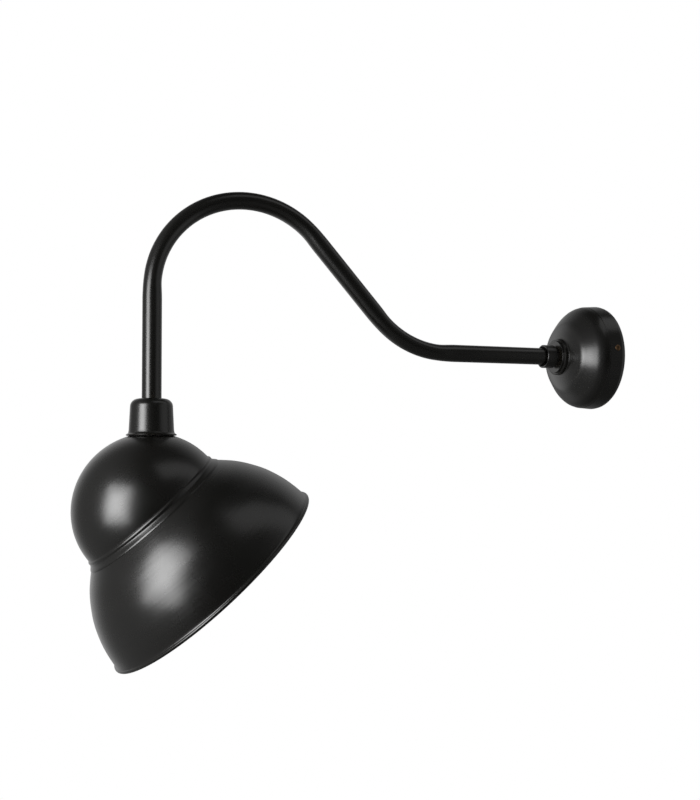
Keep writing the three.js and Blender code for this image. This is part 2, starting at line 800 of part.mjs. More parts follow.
// The head hangs on the leg's axis
const head = new THREE.Group();
head.position.y = -armReach;
sconce.add(head);

function buildCoupling() {
  const grubZ = tubeEnd + grubHeight;
  const plugRadius = tubeInner - seatGap;
  const plugTop = tubeEnd + plugLength;
  const plug = toSolid(ringZ(plugRadius, nippleRadius + threadGap, tubeEnd, plugTop, holderSides));
  const grubEnd = plugRadius - grubInPlug;
  const pocket = rodX(grubRadius + threadGap, grubEnd - seatGap, tubeRadius, smallSides);
  addMesh(head, 'arm_plug', plug.subtract(toSolid(pocket.translate(0, 0, grubZ))), zincSteel);

  const grubTop = tubeRadius - grubSink;
  const grub = toSolid(rodX(grubRadius, grubEnd, grubTop, smallSides));
  const socket = toSolid(rodX(grubSocketRadius, grubTop - grubSocketDepth, grubTop + overrun, 6));
  addMesh(head, 'neck_grub_screw', grub.subtract(socket), zincSteel).position.z = grubZ;

  const nipple = ringZ(nippleRadius, nippleBore, nippleBottom, tubeEnd + nippleInPlug, holderSides);
  addMesh(head, 'head_nipple', toSolid(nipple), brass);
  const nut = nutZ(capNutWidth, nippleRadius + threadGap, capNutTop - capNutThickness, capNutTop);
  addMesh(head, 'cap_locknut', nut, zincSteel);
}

function buildCap() {
  const capRadius = holderRadius + capAir + capWall;
  const lip = capTop - capHeight;
  const shoulderPlace = [capRadius - capShoulder, capTop - capShoulder];
  const shoulder = arcPoints(...shoulderPlace, capShoulder, quarterTurn, 0, capShoulderSteps);
  const flare = capFlareShares.map(([outShare, upShare]) => [
    capRadius + capTaper + outShare * capFlareWidth,
    lip + upShare * capFlareHeight,
  ]);
  const outer = [[nippleRadius + threadGap, capTop], ...shoulder, ...flare];
  addMesh(head, 'socket_cap', toSolid(turnedZ(sheetOutline(outer, capWall, -1), capSides)), blackPaint);
}

function buildLampholder() {
  const capInner = holderRadius - holderCapWall;
  const boreRadius = nippleRadius + threadGap;
  const roundCentre = holderRadius - holderCapRound;
  const holderCap = [
    [boreRadius, holderTop],
    ...arcPoints(roundCentre, holderTop - holderCapRound, holderCapRound, quarterTurn, 0, 3),
    [holderRadius, holderCapBottom],
    [capInner, holderCapBottom],
    [capInner, holderTop - holderCapTop],
    [holderBossRadius, holderTop - holderCapTop],
    [holderBossRadius, holderTop - holderCapTop - holderBossLength],
    [boreRadius, holderTop - holderCapTop - holderBossLength],
  ];
  addMesh(head, 'lampholder_cap', toSolid(turnedZ(holderCap, holderSides)), blackPlastic);

  const discBottom = coreDiscTop - coreDiscThickness;
  const bodyRadius = skirtInnerRadius - seatGap;
  let core = toSolid(turnedZ([
    [0, coreBottom],
    [bodyRadius, coreBottom],
    [bodyRadius, discBottom],
    [capInner - seatGap, discBottom],
    [capInner - seatGap, coreDiscTop],
    [0, coreDiscTop],
  ], holderSides));
  for (const [side, name] of [[1, 'terminal_screw_live'], [-1, 'terminal_screw_neutral']]) {
    const holeDepth = coreDiscTop - terminalShankLength - seatGap;
    const hole = ringZ(terminalShankRadius + threadGap, 0, holeDepth, coreDiscTop + overrun, smallSides);
    core = core.subtract(toSolid(hole.translate(side * terminalPlace, 0, 0)));
    const seat = coreDiscTop + seatGap;
    const screw = toSolid(turnedZ([
      [0, seat - terminalShankLength],
      [terminalShankRadius, seat - terminalShankLength],
      [terminalShankRadius, seat],
      [terminalHeadRadius, seat],
      [terminalHeadRadius, seat + terminalHeadHeight],
      [0, seat + terminalHeadHeight],
    ], smallSides));
    addMesh(head, name, screw, brass).position.x = side * terminalPlace;
  }
  addMesh(head, 'lampholder_core', core, whiteCeramic);

  const flangeTop = holderFlangeBottom + holderFlangeThickness;
  const skirt = [
    [skirtInnerRadius, skirtTop],
    [skirtInnerRadius, holderBottom],
    [holderRadius - holderMouthRound, holderBottom],
    [holderRadius, holderBottom + holderMouthRound],
    [holderRadius, holderFlangeBottom],
    [holderRadius + holderFlangeLedge, holderFlangeBottom],
    [holderRadius + holderFlangeLedge, flangeTop],
    [holderRadius, flangeTop],
    [holderRadius, holderCapBottom - seatGap],
    [skirtNeckRadius, holderCapBottom - seatGap],
    [skirtNeckRadius, skirtTop],
  ];
  addMesh(head, 'lampholder_skirt', toSolid(turnedZ(skirt, holderSides)), blackPlastic);

  let shell = toSolid(turnedZ([
    [shellRadius, shellTop],
    [shellRadius, shellTop - shellLength],
    [shellRadius - shellWall, shellTop - shellLength],
    [shellRadius - shellWall, shellTop - shellWall],
    [shellLipRadius, shellTop - shellWall],
    [shellLipRadius, shellTop],
  ], holderSides));
  for (const side of [-1, 1]) {
    const middle = side * (shellLipRadius + shellRadius) / 2;
    const tab = block(
      [-shellTabWidth / 2, middle - shellWall / 2, shellTop - shellWall / 2],
      [shellTabWidth / 2, middle + shellWall / 2, coreBottom - seatGap]);
    shell = shell.add(toSolid(tab));
  }
  addMesh(head, 'screw_shell', shell, brass);

  const strip = toSolid(block(
    [-contactLength / 2, -contactWidth / 2, contactTop - contactThickness],
    [contactLength / 2, contactWidth / 2, contactTop]));
  const postLow = contactTop - contactThickness / 2;
  const post = toSolid(ringZ(contactPostRadius, 0, postLow, coreBottom - seatGap, smallSides));
  addMesh(head, 'centre_contact', strip.add(post), brass);

  for (const [side, name, paint] of [[1, 'head_core_live', brownCore], [-1, 'head_core_neutral', blueCore]]) {
    const from = [side * coreSpread, 0, cableBottom - seatGap - coreRadius / 2];
    const end = terminalPlace - terminalHeadRadius - seatGap;
    const level = coreDiscTop + seatGap + coreRadius;
    const points = [
      from,
      [side * coreSpread * 1.8, 0, (cableBottom + level) / 2 - seatGap],
      [side * end * 0.6, 0, level],
      [side * end, 0, level],
    ];
    addMesh(head, name, coreAlong(points), paint);
  }
}

function buildShadeHolder() {
  const washerBottom = washerTop - washerThickness;
  const washer = ringZ(shadeHole + washerWidth, shadeHole, washerBottom, washerTop, holderSides);
  addMesh(head, 'shade_washer', toSolid(washer), greyRubber);
  const ringBore = holderRadius + threadGap;
  const hubBottom = ringTop - ringHubHeight;
  const ringBottom = hubBottom - ringHeight;
  const ringRadius = holderRadius + ringLedge;
  let ring = toSolid(turnedZ([
    [ringBore, ringBottom],
    [ringRadius - ringRound, ringBottom],
    [ringRadius, ringBottom + ringRound],
    [ringRadius, hubBottom - ringRound],
    [ringRadius - ringRound, hubBottom],
    [ringBore + ringHubWidth, hubBottom],
    [ringBore + ringHubWidth, ringTop],
    [ringBore, ringTop],
  ], holderSides));
  for (let i = 0; i < ringNotches; i += 1) {
    const angle = (fullTurn * i) / ringNotches;
    const notch = ringZ(ringNotchRadius, 0, ringBottom - overrun, hubBottom + seatGap, ringNotchSides);
    notch.translate(ringRadius * Math.cos(angle), ringRadius * Math.sin(angle), 0);
    ring = ring.subtract(toSolid(notch));
  }
  addMesh(head, 'shade_ring', ring, blackPlastic);
}

// Shade outline from the pole to the rim, as [radius, distance from the dome's centre]
function shadeOuter() {
  const domeTurn = Math.acos(-domePastCentre / domeRadius);
  const dome = arcPoints(0, 0, domeRadius, -quarterTurn, -quarterTurn + domeTurn, domeSteps);
  const [ridgeFoot] = dome[dome.length - 1];
  const ridgeTop = domeRadius + ridgeRise;
  const ridge = ridgeShares.map(([lengthShare, riseShare]) => [
    ridgeFoot + riseShare * (ridgeTop - ridgeFoot),
    domePastCentre + lengthShare * ridgeLength,
  ]);
  const bandEnd = domePastCentre + ridgeLength + bandLength;
  const bandTop = ridgeTop + bandRise;
  const band = [[bandTop, bandEnd], [bandTop - grooveDepth, bandEnd + grooveDepth]];
  const bowl = bowlShares.map(([lengthShare, riseShare]) => [
    bandTop + riseShare * bowlRise,
    bandEnd + lengthShare * bowlLength,
  ]);
  return [...dome, ...ridge, ...band, ...smoothPoints(bowl, bowlSteps)];
}

function buildShade() {
  const outer = shadeOuter();
  const keep = (i) => i <= domeSteps || i % 2 === 0;
  let shade = toSolid(turnedY(sheetOutline(outer, shadeWall, 1, keep), shadeSides));
  const rim = outer[outer.length - 1];
  const rollPoints = arcPoints(rim[0], rim[1], rollRadius, 0, fullTurn, rollSides).slice(0, -1);
  shade = shade.add(toSolid(turnedY(rollPoints, shadeSides)));
  shade = shade.rotate([shadeTilt / degree - 90, 0, 0]).translate([0, 0, domeCentre]);

  const land = toSolid(ringZ(landRadius, 0, landHeight - shadeWall, landHeight, holderSides));
  const above = toSolid(ringZ(landRadius + overrun, 0, landHeight, landHeight + domeRadius, holderSides));
  const holeLow = landHeight - shadeWall - overrun;
  const hole = toSolid(ringZ(shadeHole, 0, holeLow, landHeight + overrun, holderSides));
  shade = shade.subtract(above).add(land).subtract(hole);
  addMesh(head, 'shade', shade, blackPaint);
}

// The bulb's screw base: its radius waves along a helix
function threadedSkin(radius, depth, low, high) {
  const turns = (high - low) / threadPitch;
  const loops = Math.round(turns * loopsPerTurn);
  const positions = [];
  const index = [];
  for (let k = 0; k <= loops; k += 1) {
    const z = low + ((high - low) * k) / loops;
    const fade = Math.min(k, loops - k, threadFadeLoops) / threadFadeLoops;
    for (let i = 0; i < baseSides; i += 1) {
      const angle = (fullTurn * i) / baseSides;
      const wave = (1 - Math.cos(fullTurn * (z / threadPitch) - angle)) / 2;
      const r = radius + depth * wave * fade;
      positions.push(r * Math.cos(angle), r * Math.sin(angle), z);
    }
  }
  for (let k = 0; k < loops; k += 1) {
    for (let i = 0; i < baseSides; i += 1) {
      const a = k * baseSides + i;
      const b = k * baseSides + ((i + 1) % baseSides);
      index.push(a, b, a + baseSides, b, b + baseSides, a + baseSides);
    }
  }
  for (let i = 1; i < baseSides - 1; i += 1) {
    const last = loops * baseSides;
    index.push(0, i + 1, i, last, last + i, last + i + 1);
  }
  const geometry = new THREE.BufferGeometry();
  geometry.setAttribute('position', new THREE.Float32BufferAttribute(positions, 3));
  geometry.setIndex(index);
  return toSolid(geometry);
}

function buildBulb() {
  const tipBottom = bulbTop - tipHeight;
  const tipEdge = tipShares.map(([outShare, dropShare]) => [
    tipRadius * outShare,
    bulbTop - tipHeight * dropShare,
  ]);
  const tip = [[0, tipBottom], ...tipEdge, [0, bulbTop]];
  addMesh(head, 'bulb_contact', toSolid(turnedZ(tip, baseSides)), zincSteel);

  const insulatorTop = bulbTop - tipHeight * insulatorTopShare;
  const insulatorBottom = insulatorTop - insulatorHeight;
  const pocketRadius = tipRadius + seatGap;
  const insulator = [
    [0, insulatorBottom],
    [baseRadius - insulatorRim, insulatorBottom],
    [pocketRadius + insulatorRing, insulatorTop],
    [pocketRadius, insulatorTop],
    [pocketRadius, tipBottom - seatGap],
    [0, tipBottom - seatGap],
  ];
  addMesh(head, 'bulb_insulator', toSolid(turnedZ(insulator, baseSides)), blackGlass);

  const baseTop = insulatorBottom - seatGap;
  const baseBottom = baseTop - baseLength;
  const threadLow = baseTop - threadTurns * threadPitch;
  const baseInner = baseRadius - baseWall;
  const upper = threadedSkin(baseRadius, threadDepth, threadLow, baseTop);
  const collar = toSolid(ringZ(baseRadius + threadDepth, 0, baseBottom, threadLow + seatGap, baseSides));
  const inside = toSolid(ringZ(baseInner, 0, baseBottom - overrun, baseTop - baseWall, baseSides));
  addMesh(head, 'bulb_screw_base', upper.add(collar).subtract(inside), shellAluminium);

  const neckRadius = baseInner - seatGap * 2;
  const neckTop = baseBottom + globeInBase;
  const globeTop = baseBottom - seatGap;
  const globeLength = globeTop - (bulbTop - bulbLength);
  const skin = (wall) => smoothPoints(globeShares.map(([lengthShare, radiusShare]) => [
    radiusShare * (globeRadius - wall),
    globeTop - lengthShare * (globeLength - wall),
  ]), globeSteps);
  const neck = [[0, neckTop], [neckRadius, neckTop], [neckRadius, globeTop]];
  const outside = toSolid(turnedZ([...neck, ...skin(0)], globeSides));
  const neckBore = neckRadius - globeWall;
  const mouth = neckTop + overrun;
  const bore = [[0, mouth], [neckBore, mouth], [neckBore, globeTop - globeWall], ...skin(globeWall).slice(1)];
  addMesh(head, 'bulb_globe', outside.subtract(toSolid(turnedZ(bore, globeSides))), opalGlass);
}

buildArm();
buildCanopy();
buildHub();
buildBracket();
buildCable();
buildCoupling();
buildCap();
buildLampholder();
buildShadeHolder();
buildShade();
buildBulb();

export default sconce;
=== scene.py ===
import math

import bmesh
import bpy
from mathutils import Matrix, Vector


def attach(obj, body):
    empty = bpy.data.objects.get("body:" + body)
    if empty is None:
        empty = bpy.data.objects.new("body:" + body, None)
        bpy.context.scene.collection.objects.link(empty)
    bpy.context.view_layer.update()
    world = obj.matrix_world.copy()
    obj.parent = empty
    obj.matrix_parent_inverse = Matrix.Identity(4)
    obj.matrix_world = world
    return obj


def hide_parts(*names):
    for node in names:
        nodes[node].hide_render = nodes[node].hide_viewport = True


# Gooseneck wall sconce. The CAD pieces come in first, then the finer ones stand over them.
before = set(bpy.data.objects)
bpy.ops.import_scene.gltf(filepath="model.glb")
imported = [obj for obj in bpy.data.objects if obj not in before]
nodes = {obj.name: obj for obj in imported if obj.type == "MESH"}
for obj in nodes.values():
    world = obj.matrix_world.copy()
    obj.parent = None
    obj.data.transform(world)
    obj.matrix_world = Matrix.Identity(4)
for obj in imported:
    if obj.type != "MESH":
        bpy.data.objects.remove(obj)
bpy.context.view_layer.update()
scene = bpy.context.scene
print("frame loaded:", len(nodes), "nodes")

mm = 0.001
fixed = "fixture"  # the body that never moves
quarter = math.pi / 2
fullTurn = math.pi * 2
lampOut = 570  # from the wall to the lamp's axis
shadeTilt = math.radians(41.5)

# Where each family of pieces is turned: its origin, the way its heights run and where its turns start
wallSeat = {"origin": Vector((0, 0, 0)), "axis": Vector((0, -1, 0)), "side": Vector((1, 0, 0))}
headSeat = {"origin": Vector((0, -lampOut, 0)), "axis": Vector((0, 0, 1)), "side": Vector((1, 0, 0))}


# A seat for a screw that stands across the light, with its head to the right (1) or the left (-1)
def crossSeat(y, z, way=1):
    return {"origin": Vector((0, y, z)), "axis": Vector((way, 0, 0)), "side": Vector((0, 0, 1))}


# Mesh helpers; every length is in millimetres until the mesh is made

def ringAt(seat, radius, height, sides, dent=None):
    other = seat["axis"].cross(seat["side"])
    ring = []
    for k in range(sides):
        angle = fullTurn * k / sides
        r = radius - (dent(angle, height) if dent else 0)
        around = seat["side"] * math.cos(angle) + other * math.sin(angle)
        ring.append(seat["origin"] + seat["axis"] * height + around * r)
    return ring


# Quads between rings of points; paintFrom gives the material slot of each strip
def skinRings(bm, rings, closed=True, paintFrom=None):
    rows = [[bm.verts.new(p * mm) for p in ring] for ring in rings]
    count = len(rows)
    for i in range(count if closed else count - 1):
        low, high = rows[i], rows[(i + 1) % count]
        for k in range(len(low)):
            n = (k + 1) % len(low)
            face = bm.faces.new((low[k], low[n], high[n], high[k]))
            if paintFrom:
                face.material_index = paintFrom[i]


edgeShare = 0.49  # the most of an edge that one fillet may take


# Corners are (radius, height) or (radius, height, fillet)
def roundCorners(corners, steps=5):
    points = []
    count = len(corners)
    for i, corner in enumerate(corners):
        here = Vector(corner[:2])
        fillet = corner[2] if len(corner) > 2 else 0
        if not fillet:
            points.append(here)
            continue
        before = Vector(corners[i - 1][:2]) - here
        after = Vector(corners[(i + 1) % count][:2]) - here
        half = before.angle(after) / 2
        reach = min(fillet / math.tan(half), edgeShare * before.length, edgeShare * after.length)
        before.normalize()
        after.normalize()
        radius = reach * math.tan(half)
        centre = here + (before + after).normalized() * (radius / math.sin(half))
        start, end = here + before * reach - centre, here + after * reach - centre
        first = math.atan2(start.y, start.x)
        turn = (math.atan2(end.y, end.x) - first + math.pi) % fullTurn - math.pi
        for k in range(steps + 1):
            angle = first + turn * k / steps
            points.append(centre + Vector((math.cos(angle), math.sin(angle))) * radius)
    return points


# An even curve through given points
def splineThrough(points, perSpan):
    points = [Vector(p) for p in points]
    last = len(points) - 1
    curve = []
    for i in range(last):
        p0, p1 = points[max(i - 1, 0)], points[i]
        p2, p3 = points[i + 1], points[min(i + 2, last)]
        for k in range(perSpan):
            t = k / perSpan
            a, b = (p2 - p0) * 0.5, (p3 - p1) * 0.5
            cubic, square = p1 * 2 - p2 * 2 + a + b, p2 * 3 - p1 * 3 - a * 2 - b
            curve.append(cubic * t ** 3 + square * t ** 2 + a * t + p1)
    return curve + [points[last]]


# The same line moved sideways by the sheet's thickness
def offsetLine(points, distance):
    moved = []
    last = len(points) - 1
    for i, p in enumerate(points):
        along = (points[min(i + 1, last)] - points[max(i - 1, 0)]).normalized()
        moved.append(p + Vector((along.y, -along.x)) * distance)
    return moved


# From 0 to 1 with a soft start and end
def softStep(x):
    x = min(max(x, 0), 1)
    return x * x * (3 - 2 * x)


# How deep a screw thread cuts at an angle and a height; start is 1 or -1, deep or shallow at first
def threadWave(depth, pitch, start):
    return lambda angle, height: depth * (1 + start * math.cos(fullTurn * height / pitch - angle)) / 2


# A rod along a seat's axis, closed at both ends
def rod(seat, radius, low, high, sides):
    bm = bmesh.new()
    outline = ((0, low), (radius, low), (radius, high), (0, high))
    skinRings(bm, [ringAt(seat, r, h, sides) for r, h in outline], closed=False)
    return bm


weldGap = 1e-7  # metres


# A mesh as an object of its own, not yet on a body
def looseObject(name, bm, *materials):
    bmesh.ops.remove_doubles(bm, verts=bm.verts, dist=weldGap)
    bmesh.ops.recalc_face_normals(bm, faces=bm.faces)
    mesh = bpy.data.meshes.new(name)
    bm.to_mesh(mesh)
    bm.free()
    for material in materials:
        mesh.materials.append(material)
    loose = bpy.data.objects.new(name, mesh)
    scene.collection.objects.link(loose)
    return loose


# Smooth faces with sharp edges, then the body it rides and the CAD node it stands for, which is hidden
def finishPiece(piece, body, standsFor, sharp=38, even=True):
    for face in piece.data.polygons:
        face.use_smooth = True
    piece.data.set_sharp_from_angle(angle=math.radians(sharp))
    if even:
        weight = piece.modifiers.new("evenNormals", "WEIGHTED_NORMAL")
        weight.keep_sharp = True
    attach(piece, body)
    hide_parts(standsFor)


def turnPiece(name, seat, outline, material, body, standsFor, sides=96, sharp=38):
    bm = bmesh.new()
    skinRings(bm, [ringAt(seat, max(radius, 0), height, sides) for radius, height in outline])
    finishPiece(looseObject(name, bm, material), body, standsFor, sharp)


# Cuts one mesh out of another and removes the cutter
def carve(piece, cutter):
    cut = piece.modifiers.new("cut", "BOOLEAN")
    cut.operation = "DIFFERENCE"
    cut.solver = "EXACT"
    cut.object = cutter
    graph = bpy.context.evaluated_depsgraph_get()
    mesh = bpy.data.meshes.new_from_object(piece.evaluated_get(graph))
    piece.modifiers.clear()
    piece.data = mesh
    bpy.data.objects.remove(cutter)


# Finishes

class NodeBoard:
    def __init__(self, owner, clear=False):
        owner.use_nodes = True
        self.tree = owner.node_tree
        if clear:
            self.tree.nodes.clear()

    # Each input takes a value or another node's output
    def add(self, kind, inputs=None, **settings):
        node = self.tree.nodes.new(kind)
        for key, value in settings.items():
            setattr(node, key, value)
        for key, value in (inputs or {}).items():
            if isinstance(value, bpy.types.NodeSocket):
                self.tree.links.new(value, node.inputs[key])
            else:
                node.inputs[key].default_value = value
        return node

    def objectPlace(self):
        return self.add("ShaderNodeTexCoord").outputs["Object"]

    def remap(self, source, low, high, to0=0, to1=1, **settings):
        inputs = {"Value": source, "From Min": low, "From Max": high, "To Min": to0, "To Max": to1}
        return self.add("ShaderNodeMapRange", inputs, **settings).outputs["Result"]

    def combine(self, operation, first, second):
        return self.add("ShaderNodeMath", {0: first, 1: second}, operation=operation).outputs[0]

    def mixShaders(self, factor, first, second):
        return self.add("ShaderNodeMixShader", {0: factor, 1: first, 2: second}).outputs[0]


class Finish(NodeBoard):
    def __init__(self, name):
        self.material = bpy.data.materials.new(name)
        super().__init__(self.material)
        self.shader = self.tree.nodes["Principled BSDF"]
        self.place = self.objectPlace()

    def set(self, **values):
        for key, value in values.items():
            self.shader.inputs[key.replace("_", " ")].default_value = value

    def noise(self, scale, detail=3, rough=0.5, place=None):
        inputs = {"Scale": scale, "Detail": detail, "Roughness": rough,
                  "Vector": self.place if place is None else place}
        return self.add("ShaderNodeTexNoise", inputs).outputs["Fac"]

    def stretched(self, scale):
        return self.add("ShaderNodeMapping", {"Vector": self.place, "Scale": scale}).outputs["Vector"]

    # Lines that a lathe leaves: noise drawn out round the tilted axis
    def lathe(self, tilt, stretch, scale):
        inputs = {"Vector": self.place, "Rotation": (tilt, 0, 0), "Scale": stretch}
        drawn = self.add("ShaderNodeMapping", inputs, vector_type="TEXTURE").outputs["Vector"]
        return self.noise(scale, place=drawn)

    def mixColor(self, factor, first, second):
        first, second = ((*value, 1) if isinstance(value, tuple) else value for value in (first, second))
        return self.add("ShaderNodeMix", {0: factor, 6: first, 7: second}, data_type="RGBA").outputs[2]

    # The first plus the second times a scale
    def sum(self, first, second, scale=1.0):
        inputs = {0: second, 1: scale, 2: first}
        return self.add("ShaderNodeMath", inputs, operation="MULTIPLY_ADD").outputs[0]

    def edges(self, low, high):
        return self.remap(self.add("ShaderNodeNewGeometry").outputs["Pointiness"], low, high)

    def bump(self, height, strength, distance):
        bumped = self.add("ShaderNodeBump", {"Strength": strength, "Distance": distance, "Height": height})
        self.tree.links.new(bumped.outputs["Normal"], self.shader.inputs["Normal"])

    def color(self, source):
        self.tree.links.new(source, self.shader.inputs["Base Color"])

    def roughness(self, source):
        self.tree.links.new(source, self.shader.inputs["Roughness"])


# The part of a noise's range that is drawn out in full
spans = {"patches": (0.38, 0.66), "mottle": (0.35, 0.68), "tarnish": (0.42, 0.68), "cloud": (0.3, 0.7),
         "metalEdges": (0.52, 0.6)}
patchy = {"detail": 4, "rough": 0.6}
cloudy = {"detail": 5, "rough": 0.6}
tarnished = {"detail": 6, "rough": 0.65}
lined = {"detail": 3, "rough": 0.6}
rippled = {"detail": 2, "rough": 0.4}
grainy = {"detail": 2, "rough": 0.5}
bumpDepth = {"paint": 0.0004, "metal": 0.0002, "moulded": 0.0003, "glass": 0.0004}
mouldedCloud = 0.3  # the scale at which a moulded skin's gloss varies, as a share of its grain's
glassCloud = 3      # and opal glass's, as a share of its clouds'


# Satin powder coat: warm patches, a fine orange peel and a little brown on the edges
def satinPaint(name, look):
    f = Finish(name)
    patches = f.remap(f.noise(look["patchScale"], **patchy), *spans["patches"])
    body = f.mixColor(patches, look["color"], look["warmColor"])
    f.color(f.mixColor(f.edges(*look["edgeRange"]), body, look["edgeColor"]))
    cloud = f.remap(f.noise(look["cloudScale"], **cloudy), *spans["cloud"], *look["roughness"])
    f.roughness(f.sum(cloud, f.noise(look["grainScale"], **grainy), look["roughGrain"]))
    finePeel = f.noise(look["finePeelScale"], **grainy)
    peel = f.sum(f.noise(look["peelScale"], **rippled), finePeel, look["finePeel"])
    if look["spun"]:
        lines = f.lathe(shadeTilt, look["spunStretch"], look["spunScale"])
        peel = f.sum(peel, lines, look["spun"])
    f.bump(peel, look["peel"], bumpDepth["paint"])
    f.set(Specular_IOR_Level=look["specular"], IOR=look["gloss"])
    return f.material


# Sprayed white enamel for the inside of the shade
def sprayedEnamel(name, look):
    f = Finish(name)
    patches = f.remap(f.noise(look["patchScale"], **patchy), *spans["mottle"])
    f.color(f.mixColor(patches, look["color"], look["warmColor"]))
    f.roughness(f.remap(f.noise(look["cloudScale"], detail=4), *spans["cloud"], *look["roughness"]))
    f.bump(f.noise(look["peelScale"], **rippled), look["peel"], bumpDepth["paint"])
    return f.material


# Plated or turned metal: fine lines round the piece, cloudy tarnish
def platedMetal(name, look):
    f = Finish(name)
    tarnish = f.remap(f.noise(look["tarnishScale"], **tarnished), *spans["tarnish"])
    body = f.mixColor(tarnish, look["color"], look["tarnish"])
    f.color(f.mixColor(f.edges(*spans["metalEdges"]), body, look["edgeColor"]))
    lines = f.noise(look["lineScale"], **lined, place=f.stretched(look["stretch"]))
    f.roughness(f.remap(lines, *spans["cloud"], *look["roughness"]))
    f.bump(lines, look["lines"], bumpDepth["metal"])
    f.set(Metallic=look["metallic"])
    return f.material


# Moulded plastic, ceramic or rubber: fine grain, faint mottling
def mouldedSkin(name, look):
    f = Finish(name)
    mottle = f.remap(f.noise(look["mottleScale"], **patchy), *spans["mottle"])
    f.color(f.mixColor(mottle, look["color"], look["mottle"]))
    cloud = f.noise(look["grainScale"] * mouldedCloud)
    f.roughness(f.remap(cloud, *spans["cloud"], *look["roughness"]))
    f.bump(f.noise(look["grainScale"], **grainy), look["grain"], bumpDepth["moulded"])
    f.set(Specular_IOR_Level=look["specular"])
    return f.material


# Opal glass: milky, smooth, with a soft glow from inside the wall
def opalGlassSkin(name, look):
    f = Finish(name)
    cloud = f.remap(f.noise(look["cloudScale"], **patchy), *spans["mottle"])
    f.color(f.mixColor(cloud, look["color"], look["cloud"]))
    fine = f.noise(look["cloudScale"] * glassCloud, **grainy)
    f.roughness(f.remap(fine, *spans["cloud"], *look["roughness"]))
    f.bump(f.noise(look["rippleScale"], **rippled), look["ripple"], bumpDepth["glass"])
    f.set(Subsurface_Weight=look["glow"], Subsurface_Scale=look["glowDepth"], Coat_Weight=look["coat"],
          Coat_Roughness=look["coatRoughness"])
    return f.material


finishLooks = {
    "blackPaint": {"color": (0.0027, 0.0026, 0.0016), "warmColor": (0.0037, 0.0032, 0.0021),
                   "edgeColor": (0.011, 0.0085, 0.0055), "edgeRange": (0.53, 0.62), "patchScale": 14,
                   "cloudScale": 26, "roughness": (0.25, 0.29), "roughGrain": 0.008, "grainScale": 1500,
                   "peelScale": 500, "finePeelScale": 2000, "finePeel": 0.35, "peel": 0.006,
                   "specular": 1.0, "gloss": 1.6, "spun": 0},
    "insideWhite": {"color": (0.8, 0.79, 0.76), "warmColor": (0.74, 0.725, 0.69), "patchScale": 12,
                    "cloudScale": 40, "roughness": (0.34, 0.46), "peelScale": 600, "peel": 0.12},
    "zincSteel": {"color": (0.52, 0.53, 0.52), "tarnish": (0.36, 0.36, 0.34), "edgeColor": (0.66, 0.67, 0.66),
                  "tarnishScale": 90, "lineScale": 60, "stretch": (1, 12, 12), "roughness": (0.3, 0.48),
                  "lines": 0.12, "metallic": 0.92},
    "darkBronze": {"color": (0.2, 0.115, 0.058), "tarnish": (0.075, 0.045, 0.026),
                   "edgeColor": (0.42, 0.26, 0.13), "tarnishScale": 260, "lineScale": 300,
                   "stretch": (1, 1, 5), "roughness": (0.3, 0.45), "lines": 0.1, "metallic": 0.85},
    "brass": {"color": (0.6, 0.42, 0.17), "tarnish": (0.4, 0.26, 0.1), "edgeColor": (0.75, 0.56, 0.26),
              "tarnishScale": 150, "lineScale": 120, "stretch": (1, 1, 9), "roughness": (0.24, 0.4),
              "lines": 0.08, "metallic": 0.95},
    "shellAluminium": {"color": (0.72, 0.72, 0.71), "tarnish": (0.55, 0.55, 0.54),
                       "edgeColor": (0.82, 0.82, 0.82), "tarnishScale": 120, "lineScale": 200,
                       "stretch": (1, 1, 6), "roughness": (0.26, 0.4), "lines": 0.08, "metallic": 0.95},
    "blackPlastic": {"color": (0.011, 0.011, 0.012), "mottle": (0.019, 0.018, 0.018), "mottleScale": 60,
                     "grainScale": 1300, "roughness": (0.4, 0.52), "grain": 0.12, "specular": 0.45},
    "whiteCeramic": {"color": (0.78, 0.75, 0.68), "mottle": (0.7, 0.66, 0.58), "mottleScale": 90,
                     "grainScale": 500, "roughness": (0.2, 0.34), "grain": 0.06, "specular": 0.5},
    "greyRubber": {"color": (0.04, 0.04, 0.04), "mottle": (0.06, 0.058, 0.056), "mottleScale": 80,
                   "grainScale": 900, "roughness": (0.7, 0.85), "grain": 0.3, "specular": 0.3},
    "creamPlastic": {"color": (0.72, 0.68, 0.55), "mottle": (0.66, 0.61, 0.48), "mottleScale": 70,
                     "grainScale": 1100, "roughness": (0.38, 0.52), "grain": 0.1, "specular": 0.45},
    "blackCable": {"color": (0.016, 0.016, 0.017), "mottle": (0.026, 0.025, 0.025), "mottleScale": 70,
                   "grainScale": 1000, "roughness": (0.5, 0.62), "grain": 0.15, "specular": 0.4},
    "brownCore": {"color": (0.13, 0.055, 0.025), "mottle": (0.1, 0.04, 0.018), "mottleScale": 90,
                  "grainScale": 1200, "roughness": (0.36, 0.5), "grain": 0.08, "specular": 0.45},
    "blueCore": {"color": (0.03, 0.11, 0.36), "mottle": (0.025, 0.09, 0.3), "mottleScale": 90,
                 "grainScale": 1200, "roughness": (0.36, 0.5), "grain": 0.08, "specular": 0.45},
    "earthGreen": {"color": (0.09, 0.28, 0.06), "mottle": (0.07, 0.23, 0.05), "mottleScale": 90,
                   "grainScale": 1200, "roughness": (0.36, 0.5), "grain": 0.08, "specular": 0.45},
    "blackGlass": {"color": (0.006, 0.006, 0.008), "mottle": (0.01, 0.01, 0.012), "mottleScale": 80,
                   "grainScale": 300, "roughness": (0.08, 0.18), "grain": 0.04, "specular": 0.5},
    "opalGlass": {"color": (0.8, 0.8, 0.78), "cloud": (0.76, 0.755, 0.73), "cloudScale": 25,
                  "roughness": (0.16, 0.26), "rippleScale": 60, "ripple": 0.05, "glow": 0.25,
                  "glowDepth": 0.004, "coat": 0.6, "coatRoughness": 0.06},
}
